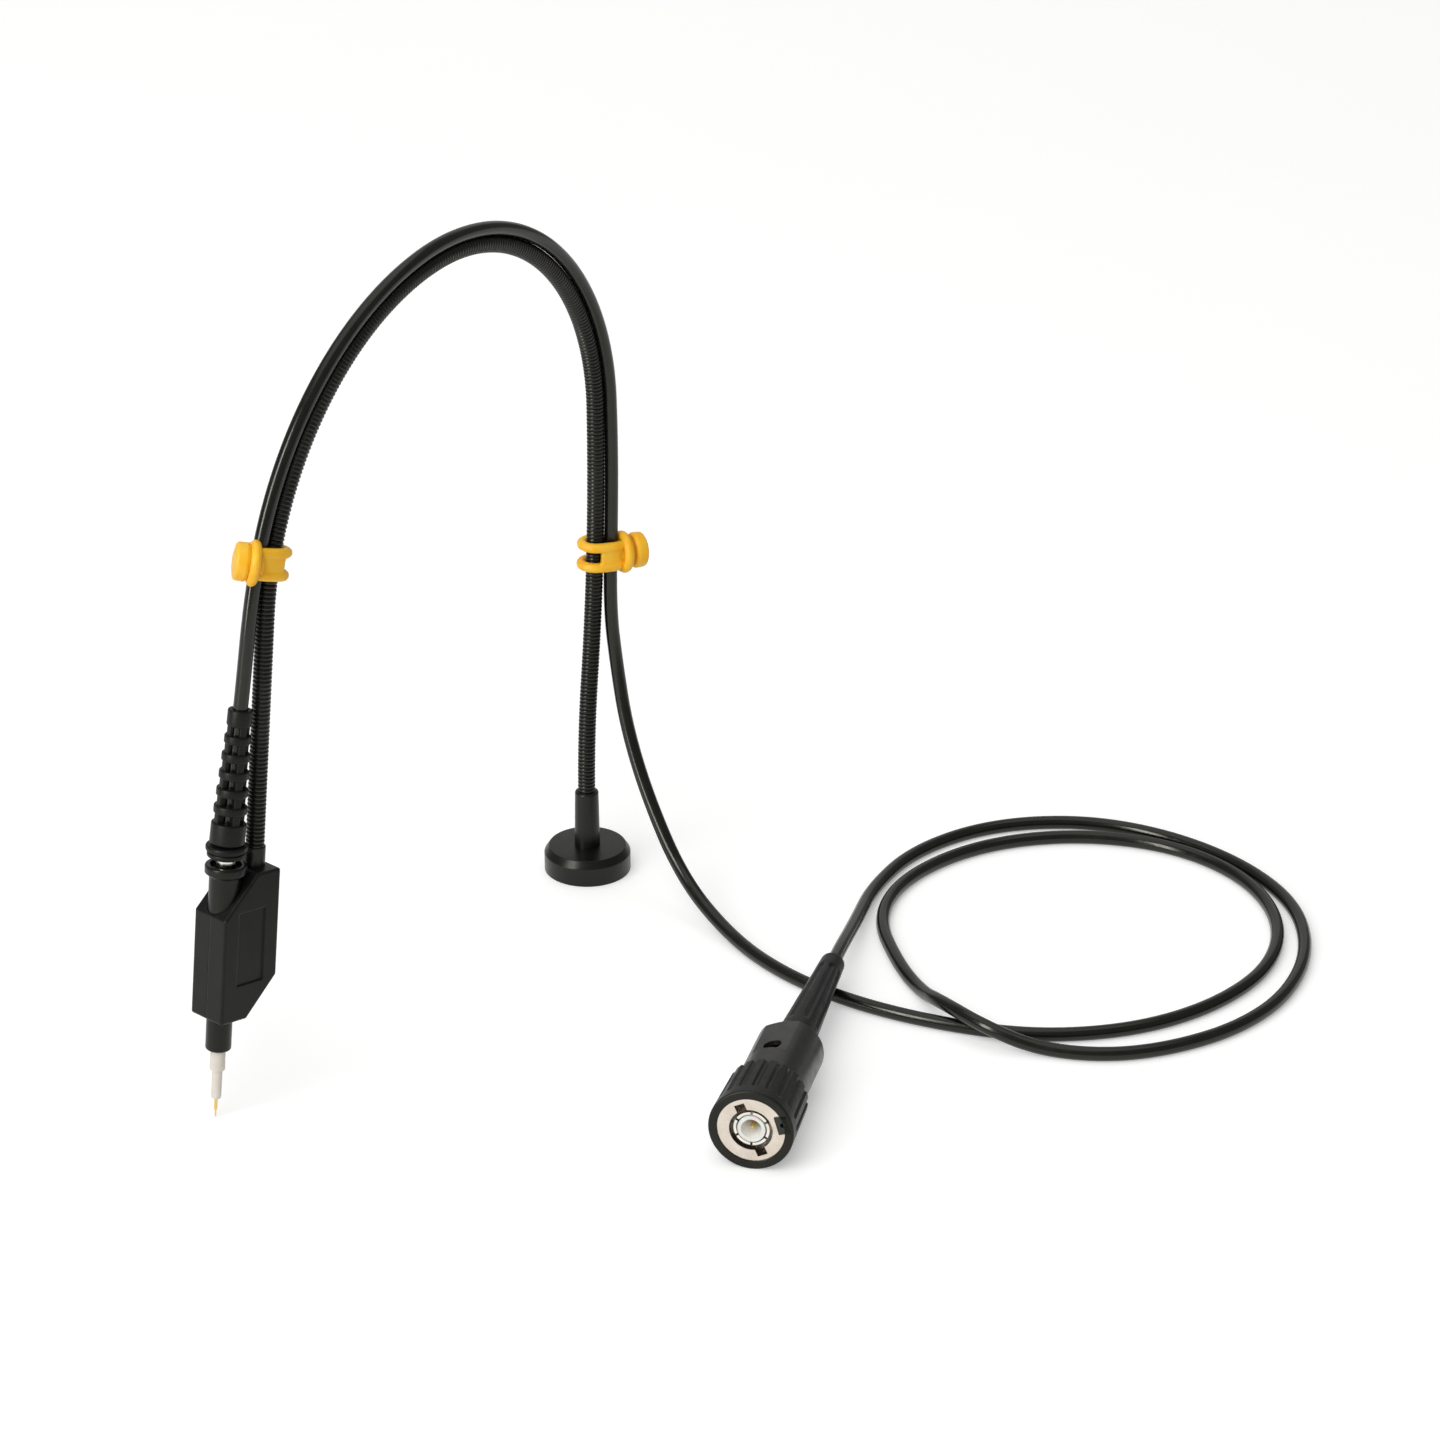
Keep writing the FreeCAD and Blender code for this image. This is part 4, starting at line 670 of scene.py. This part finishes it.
ribbed_stretch("arm_ribs_lower", -ARM_SINK_IN_STEM, NEAR_TIE_AT, "base", "near_arm", "arm_lower", *FOOT_BEND)
ribbed_stretch("arm_ribs_crown", NEAR_TIE_AT, FAR_TIE_AT, "near_arm", "far_arm", "arm_crown", *CROWN_BEND)
ribbed_stretch("arm_ribs_upper", FAR_TIE_AT, ARM_LENGTH + ARM_SINK_IN_HEAD, "far_arm", "probe_head",
               "arm_upper", *HEAD_BEND)

# Foot: disc with a bright magnet under it, and the stem

disc = turned("foot_disc_mesh", [
    (8.55, 0.0), (10.5, 0.0, 0.25), (10.5, 4.7, 0.35), (9.35, 6.4, 0.25), (2.25, 6.4), (2.25, 3.2),
    (8.55, 3.2),
], IDENTITY, 128)
piece("foot_turned_disc", disc, foot_anodised, "base", "foot_disc")
stem = turned("arm_stem_mesh", [
    (0.0, 4.0), (2.2, 4.0), (2.2, 6.4), (3.1, 6.4), (2.85, STEM_TOP, 0.5), (2.05, STEM_TOP, 0.2),
    (2.05, 11.0), (0.0, 11.0),
], IDENTITY, 96)
piece("foot_stem", stem, foot_anodised, "base", "arm_stem")


# Ties: two round strands that join in a web, a ring drawn over the neck, and a knob

TIE_STRAND = 1.2
TIE_SPREAD = 2.5
NECK_SPREAD = 1.6
NECK_HALF = 0.9
WEB_RADIUS = 0.9
WEB_INSET = 0.15
WEB_SHARES = (-0.75, -0.45, -0.15, 0.15, 0.45, 0.75)
# How far the strands have spread at each angle round the lead
LEAD_SIDE_SPREADS = ((20, 0.75), (50, 0.95), (80, 1.0))
ARM_SIDE_FROM = 60
ARM_SIDE_STEP = 15
TIE_REACH_ARM = ARM_RADIUS + TIE_STRAND
TIE_REACH_LEAD = LEAD_RADIUS + TIE_STRAND
BAND_VOXEL = 0.16
RING_RADIUS = 3.95
RING_TUBE = 1.15
NECK_IN_RING = 0.8


def band_line(side, share, inset, neck, end):
    """The band's line on one side, from the neck round the lead and the arm to the end angle."""
    high = TIE_SPREAD * share
    reach_lead = TIE_REACH_LEAD - inset
    reach_arm = TIE_REACH_ARM - inset
    points = [Vector((LEAD_BESIDE_ARM + neck, side * NECK_HALF, NECK_SPREAD * share))]
    for degrees, spread in LEAD_SIDE_SPREADS:
        angle = math.radians(degrees)
        points.append(Vector((LEAD_BESIDE_ARM + reach_lead * math.cos(angle),
                              side * reach_lead * math.sin(angle), high * spread)))
    for degrees in range(ARM_SIDE_FROM, end + 1, ARM_SIDE_STEP):
        angle = math.radians(degrees)
        # Up to the arm's widest place the band runs straight, then round it
        reach = reach_arm / math.sin(angle) if degrees < 90 else reach_arm
        points.append(Vector((reach * math.cos(angle), side * reach * math.sin(angle), high)))
    return points


def soft_band(name, neck, web_end):
    """The two strands and the web between them, melted into one skin."""
    # Each strand goes right round: the second side stops one step short of where the first ends
    lumps = []
    for share in (-1, 1):
        route = band_line(1, share, 0, neck, 180) + band_line(-1, share, 0, neck, 165)[::-1]
        line = smooth_line(name + "_strand", route, 8)
        lumps.append(swept_tube("strand", line, [TIE_STRAND] * len(line), 20))
    for side in (-1, 1):
        for share in WEB_SHARES:
            line = smooth_line(name + "_web", band_line(side, share, WEB_INSET, neck, web_end), 8)
            lumps.append(swept_tube("web", line, [WEB_RADIUS] * len(line), 16))
    carrier = bpy.data.objects.new(name + "_carrier", joined(name + "_band", *lumps))
    bpy.context.scene.collection.objects.link(carrier)
    grid = carrier.modifiers.new("voxels", "REMESH")
    grid.mode = "VOXEL"
    grid.voxel_size = BAND_VOXEL * MM
    soften = carrier.modifiers.new("soften", "SMOOTH")
    soften.factor = 0.5
    soften.iterations = 14
    whole = bpy.data.meshes.new_from_object(carrier.evaluated_get(bpy.context.evaluated_depsgraph_get()))
    bpy.data.objects.remove(carrier)
    return whole


def ring_and_knob(axis, knob_gap):
    """The ring, and the knob on the neck that goes through it."""
    section = [(RING_TUBE * math.cos(math.radians(angle)), RING_TUBE * math.sin(math.radians(angle)))
               for angle in range(0, 360, 20)]
    ring = turned("ring", [(RING_RADIUS + across, along) for across, along in section], axis, 72)
    rear = RING_TUBE + knob_gap
    neck = turned("neck", [
        (0, -2.0), (2.7, -2.0), (2.5, rear - 0.3), (3.0, rear + 0.6), (0, rear + 0.6),
    ], axis, 48)
    knob = turned("knob", [
        (0, rear), (3.9, rear, 0.3), (4.3, rear + 0.7, 0.5), (4.2, rear + 2.9, 0.7), (2.6, rear + 3.25, 1.0),
        (0, rear + 3.3),
    ], axis, 72)
    return ring, neck, knob


def silicone_tie(name, distance, turn, web_end, ring_reach, seat_turn, knob_turn, knob_gap, body, node):
    """A tie round the arm and the lead; its ring lies against the lead, where the knob holds it."""
    centre, direction, _ = along_arm(distance)
    side = lead_side(distance, turn)
    place = axes(centre, side, direction.cross(side), direction)
    knob_axis = (Matrix.Translation((LEAD_BESIDE_ARM, 0, 0))
                 @ Matrix.Rotation(math.radians(seat_turn), 4, "Z")
                 @ Matrix.Translation((ring_reach, 0, 0))
                 @ Matrix.Rotation(math.radians(knob_turn - seat_turn), 4, "Z")
                 @ Matrix.Rotation(math.radians(90), 4, "Y"))
    band = soft_band(name, ring_reach + NECK_IN_RING, web_end)
    mesh = joined(name + "_mesh", band, *ring_and_knob(knob_axis, knob_gap))
    put_in_place(mesh, place)
    piece(name, mesh, tie_silicone, body, node, sharp=50.0)


silicone_tie("near_silicone_tie", NEAR_TIE_AT, NEAR_TIE_TURN, web_end=75, ring_reach=3.0, seat_turn=0.0,
             knob_turn=11.0, knob_gap=1.0, body="near_arm", node="near_tie")
silicone_tie("far_silicone_tie", FAR_TIE_AT, FAR_TIE_TURN, web_end=105, ring_reach=2.5, seat_turn=-28.0,
             knob_turn=36.0, knob_gap=0.0, body="far_arm", node="far_tie")

# Head: nose, sleeve, jack and collars, turned

nose = turned("nose_mesh", [
    (1.75, 16.6), (2.9, 16.6, 0.7), (2.9, 28.5), (0.45, 28.5), (0.45, 24.75), (1.75, 24.75),
], at_head, 72)
piece("nose", nose, nose_nylon, "probe_head", "nose_tube")
sleeve = turned("sleeve_mesh", [
    (0.45, 4.65), (1.13, 4.65, 0.55), (1.18, 11.45), (1.45, 11.55, 0.1), (1.7, 11.85, 0.15),
    (1.7, 24.7), (0.45, 24.7),
], at_head, 64)
piece("needle_insulator", sleeve, sleeve_resin, "probe_head", "needle_sleeve")
jack = turned("jack_mesh", [
    (2.35, 48.32), (3.6, 48.32), (3.6, 58.0, 0.4), (4.05, 58.5, 0.2), (4.65, 58.8, 0.3), (4.65, 60.7, 0.45),
    (3.5, 60.7, 0.2), (3.5, 59.6), (2.35, 59.6),
], at_head, 96)
piece("head_jack", jack, nose_nylon, "probe_head", "jack_body")
collar = turned("collar_mesh", [
    (1.65, 62.45), (3.8, 62.45, 0.2), (4.3, 62.8, 0.3), (4.3, 63.6, 0.3), (4.0, 63.8, 0.1), (4.0, 64.0, 0.1),
    (4.65, 64.15, 0.35), (4.65, 65.35, 0.45), (1.65, 65.35),
], at_head, 96)
piece("lead_collar", collar, boot_elastomer, "probe_head", "lead_plug_collar")
ferrule = turned("arm_ferrule_mesh", [
    (2.05, 58.7), (2.4, 58.7), (2.4, 63.2, 0.2), (2.05, 63.2),
], at_socket, 64)
piece("arm_ferrule", ferrule, foot_anodised, "probe_head", "arm_collar")

# Needle spring, wound from fine wire; the real spring shortens as the needle travels

SPRING_FROM = 11.24
SPRING_TO = 33.26
SPRING_COIL_RADIUS = 0.17
SPRING_WIRE_RADIUS = 0.04
SPRING_PITCH = 1.6
SPRING_STEPS = 24


def needle_coil():
    """The spring's helix, at an even pitch along the barrel."""
    low = SPRING_FROM + SPRING_WIRE_RADIUS
    high = SPRING_TO - SPRING_WIRE_RADIUS
    count = round((high - low) / SPRING_PITCH * SPRING_STEPS)
    path = []
    for index in range(count + 1):
        height = low + (high - low) * index / count
        angle = 2 * math.pi * height / SPRING_PITCH
        path.append(Vector((
            SPRING_COIL_RADIUS * math.cos(angle), SPRING_COIL_RADIUS * math.sin(angle), height)))
    mesh = swept_tube("needle_coil_mesh", path, [SPRING_WIRE_RADIUS] * len(path), 8, at_head)
    coil = piece("needle_coil", mesh, spring_steel, "probe_head", "needle_spring")
    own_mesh(coil)


needle_coil()

# Slotted boot: a base, rings on four ribs and an end ring, all with soft edges

BOOT_ROWS = 6
BOOT_ROW = 4.0
BOOT_WINDOW = 2.1
BOOT_BASE = 4.8
BOOT_BASE_RADIUS = 3.9
BOOT_END_RADIUS = 2.75
BOOT_BORE = 1.8
BOOT_RIB = 1.7
BOOT_RIB_FROM = BOOT_BORE + 0.05
BOOT_RIB_BELOW_RING = 0.3
BOOT_RIB_SINK = 0.4
BOOT_EDGE = 0.35
BOOT_TAPER = (BOOT_BASE_RADIUS - BOOT_END_RADIUS) / BOOT_ROWS


def slotted_boot():
    """The strain relief on the head: between its rings and ribs, windows show the lead."""
    parts = [turned("boot_base", [
        (BOOT_BORE, 0), (BOOT_BASE_RADIUS, 0, 0.3), (BOOT_BASE_RADIUS, BOOT_BASE, BOOT_EDGE),
        (BOOT_BORE, BOOT_BASE),
    ], IDENTITY, 72)]
    for row in range(BOOT_ROWS):
        low = BOOT_BASE + row * BOOT_ROW
        radius = BOOT_BASE_RADIUS - (row + 1) * BOOT_TAPER
        top = low + BOOT_ROW if row < BOOT_ROWS - 1 else BOOT_LENGTH
        parts.append(turned("boot_ring", [
            (BOOT_BORE, low + BOOT_WINDOW), (radius, low + BOOT_WINDOW, BOOT_EDGE), (radius, top, BOOT_EDGE),
            (BOOT_BORE, top),
        ], IDENTITY, 72))
        rib_reach = radius - BOOT_RIB_BELOW_RING
        half = BOOT_RIB / 2
        for quarter in range(4):
            turn = Matrix.Rotation(math.radians(45 + 90 * quarter), 4, "Z")
            parts.append(prism("boot_rib", [
                (BOOT_RIB_FROM, -half), (rib_reach, -half, 0.25), (rib_reach, half, 0.25),
                (BOOT_RIB_FROM, half),
            ], low - BOOT_RIB_SINK, low + BOOT_WINDOW + BOOT_RIB_SINK, turn))
    mesh = joined("slotted_boot_mesh", *parts)
    put_in_place(mesh, at_boot)
    piece("slotted_boot", mesh, boot_elastomer, "probe_head", "lead_boot")


slotted_boot()

# Plug: fluted grip, housing with its flat, and the fluted tail

FLUTES = 20
FLUTE_FROM = 2.9
FLUTE_HALF = 0.72
FLUTE_DEPTH = 0.5
GRIP_BORE_LIMIT = GRIP_REAR_RADIUS - 0.6


def fluted_grip(angle, radius, height):
    """The grip's outer wall with U-ended flutes."""
    if radius < GRIP_BORE_LIMIT:
        return radius, height
    pitch = 2 * math.pi / FLUTES
    off = (angle / pitch - round(angle / pitch)) * pitch * radius
    short = max(0.0, FLUTE_FROM + FLUTE_HALF - height)
    away = math.hypot(off, short) / FLUTE_HALF
    depth = FLUTE_DEPTH * max(0.0, 1 - away ** 2.6)
    return radius - depth, height


grip = turned("grip_mesh", [
    (7.65, 0.0), (GRIP_RADIUS, 0.0, 0.5), (GRIP_REAR_RADIUS, GRIP_LENGTH, 0.35), (6.25, GRIP_LENGTH),
    (6.25, 14.5), (7.65, 14.5),
], at_plug, FLUTES * 20, 0.35, fluted_grip)
coupling_grip = piece("coupling_grip", grip, grip_nylon, "coupling", "plug_grip", sharp=45.0)

TAIL_FLUTES = 8
TAIL_FLUTE_FROM = 7.3
TAIL_FLUTE_TO = 37.4
TAIL_FLUTE_HALF = 0.75
TAIL_FLUTE_DEPTH = 0.4
TAIL_FLUTE_FADE = 1.2
TAIL_BORE_LIMIT = 2.2


def fluted_tail(angle, radius, height):
    """The tail's outer wall with long shallow flutes that run out at both ends."""
    start, end = TAIL_FRONT + TAIL_FLUTE_FROM, TAIL_FRONT + TAIL_FLUTE_TO
    if radius < TAIL_BORE_LIMIT or height < start or height > end:
        return radius, height
    pitch = 2 * math.pi / TAIL_FLUTES
    off = (angle / pitch - math.floor(angle / pitch) - 0.5) * pitch * radius
    fade = min(1.0, (height - start) / TAIL_FLUTE_FADE, (end - height) / TAIL_FLUTE_FADE)
    depth = TAIL_FLUTE_DEPTH * fade * max(0.0, 1 - (abs(off) / TAIL_FLUTE_HALF) ** 2.4)
    return radius - depth, height


tail_rear = TAIL_FRONT + TAIL_LENGTH
tail = turned("tail_mesh", [
    (1.7, TAIL_FRONT - 2.4), (3.5, TAIL_FRONT - 2.4), (3.5, TAIL_FRONT), (4.9, TAIL_FRONT, 0.3),
    (4.9, TAIL_FRONT + 3.0, 0.5), (4.0, TAIL_FRONT + 3.0, 0.2), (4.0, TAIL_FRONT + 3.8, 0.2),
    (4.55, TAIL_FRONT + 3.9, 0.3), (2.85, tail_rear, 0.7), (1.7, tail_rear, 0.1),
], at_plug, TAIL_FLUTES * 20, 0.5, fluted_tail)
plug_tail = piece("fluted_tail", tail, boot_elastomer, "base", "plug_tail", sharp=45.0)

# CAD nodes that keep their shape, with a finish of their own

KEPT = {
    "foot_magnet": nickel,
    "head_front_shell": head_abs,
    "head_back_shell": head_abs,
    "probe_board": laminate,
    "board_parts": nose_nylon,
    "needle_barrel": gold,
    "needle_plunger": gold,
    "jack_contact_shell": bright_nickel,
    "jack_core": core_fluoropolymer,
    "jack_contact": gold,
    "lead_plug_sleeve": bright_nickel,
    "bayonet_shell": nickel,
    # The readout block's lighter base colour is a painted highlight
    "readout_block": block_nylon_painted_highlight,
    "outer_contact": bright_nickel,
    "plug_core": core_fluoropolymer,
    "plug_pin": gold,
    "plug_body": nickel,
    "wave_washer": spring_steel,
    "trimmer_housing": housing_polycarbonate,
    "trimmer_board": laminate,
    # The trimmer's near-black finish is painted shade of its hole
    "trimmer_body": trimmer_nylon_painted_shade,
    "trimmer_screw": gold,
}
for name, material in KEPT.items():
    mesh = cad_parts[name].data
    mesh.materials.clear()
    mesh.materials.append(material)

# Floor and light

FLOOR_WHITE = "#EDEDEC"
FLOOR_GLOW = 0.33
FLOOR_HALF = 4000.0
WORLD_LIGHT = 0.24
WHITE = (1.0, 1.0, 1.0, 1.0)


def card_white():
    """Pale matt card. To the eye and to mirrors it has a little light of its own, so that it looks white."""
    material, tree, shader, _ = new_material("matt_card_white", Roughness=0.9, Specular_IOR_Level=0.1)
    shader.inputs["Base Color"].default_value = sheet_colour(FLOOR_WHITE)
    rays = add_node(tree, "ShaderNodeLightPath").outputs
    seen = rays["Is Camera Ray"]
    for kind in ("Is Glossy Ray", "Is Transmission Ray"):
        seen = add_node(tree, "ShaderNodeMath", {0: seen, 1: rays[kind]}, operation="MAXIMUM").outputs[0]
    glow = add_node(tree, "ShaderNodeMath", {0: seen, 1: FLOOR_GLOW}, operation="MULTIPLY")
    shader.inputs["Emission Color"].default_value = WHITE
    tree.links.new(glow.outputs[0], shader.inputs["Emission Strength"])
    return material


def table_top():
    """A flat floor that reaches past the picture on every side."""
    build = bmesh.new()
    build.faces.new([build.verts.new((x * FLOOR_HALF, y * FLOOR_HALF, 0))
                     for x, y in ((-1, -1), (1, -1), (1, 1), (-1, 1))])
    mesh = bpy.data.meshes.new("table_top")
    build.to_mesh(mesh)
    build.free()
    mesh.transform(Matrix.Scale(MM, 4))
    mesh.materials.append(card_white())
    item = bpy.data.objects.new("table_top", mesh)
    bpy.context.scene.collection.objects.link(item)


table_top()


def soft_lamp(name, place, aim, width, height, power, lights_colour=True, draws_gloss=True):
    """A softbox: an area lamp turned towards its aim, that lights colours, draws highlights, or both."""
    data = bpy.data.lights.new(name, "AREA")
    data.shape = "RECTANGLE"
    data.size = width
    data.size_y = height
    data.energy = power
    lamp = bpy.data.objects.new(name, data)
    lamp.location = place
    lamp.rotation_euler = (Vector(aim) - Vector(place)).to_track_quat("-Z", "Y").to_euler()
    lamp.visible_diffuse = lights_colour
    lamp.visible_glossy = draws_gloss
    bpy.context.scene.collection.objects.link(lamp)


# The strip draws the long highlights only, and the fill lights only the colours
AIM = (-0.03, -0.05, 0.05)
soft_lamp("strip_softbox", (-1.15, 0.25, 0.6), AIM, 0.32, 1.15, 15.0, lights_colour=False)
soft_lamp("fill_softbox", (-1.6, -0.1, 1.3), AIM, 2.0, 2.0, 33.0, draws_gloss=False)
soft_lamp("back_softbox", (1.3, 1.0, 0.9), AIM, 2.2, 1.5, 4.5)
soft_lamp("top_softbox", (0.1, 0.3, 2.6), AIM, 2.6, 2.6, 20.0)

world = bpy.data.worlds.new("studio")
bpy.context.scene.world = world
world.use_nodes = True
background = world.node_tree.nodes["Background"]
background.inputs["Color"].default_value = WHITE
background.inputs["Strength"].default_value = WORLD_LIGHT
bpy.context.scene.view_settings.view_transform = "Standard"
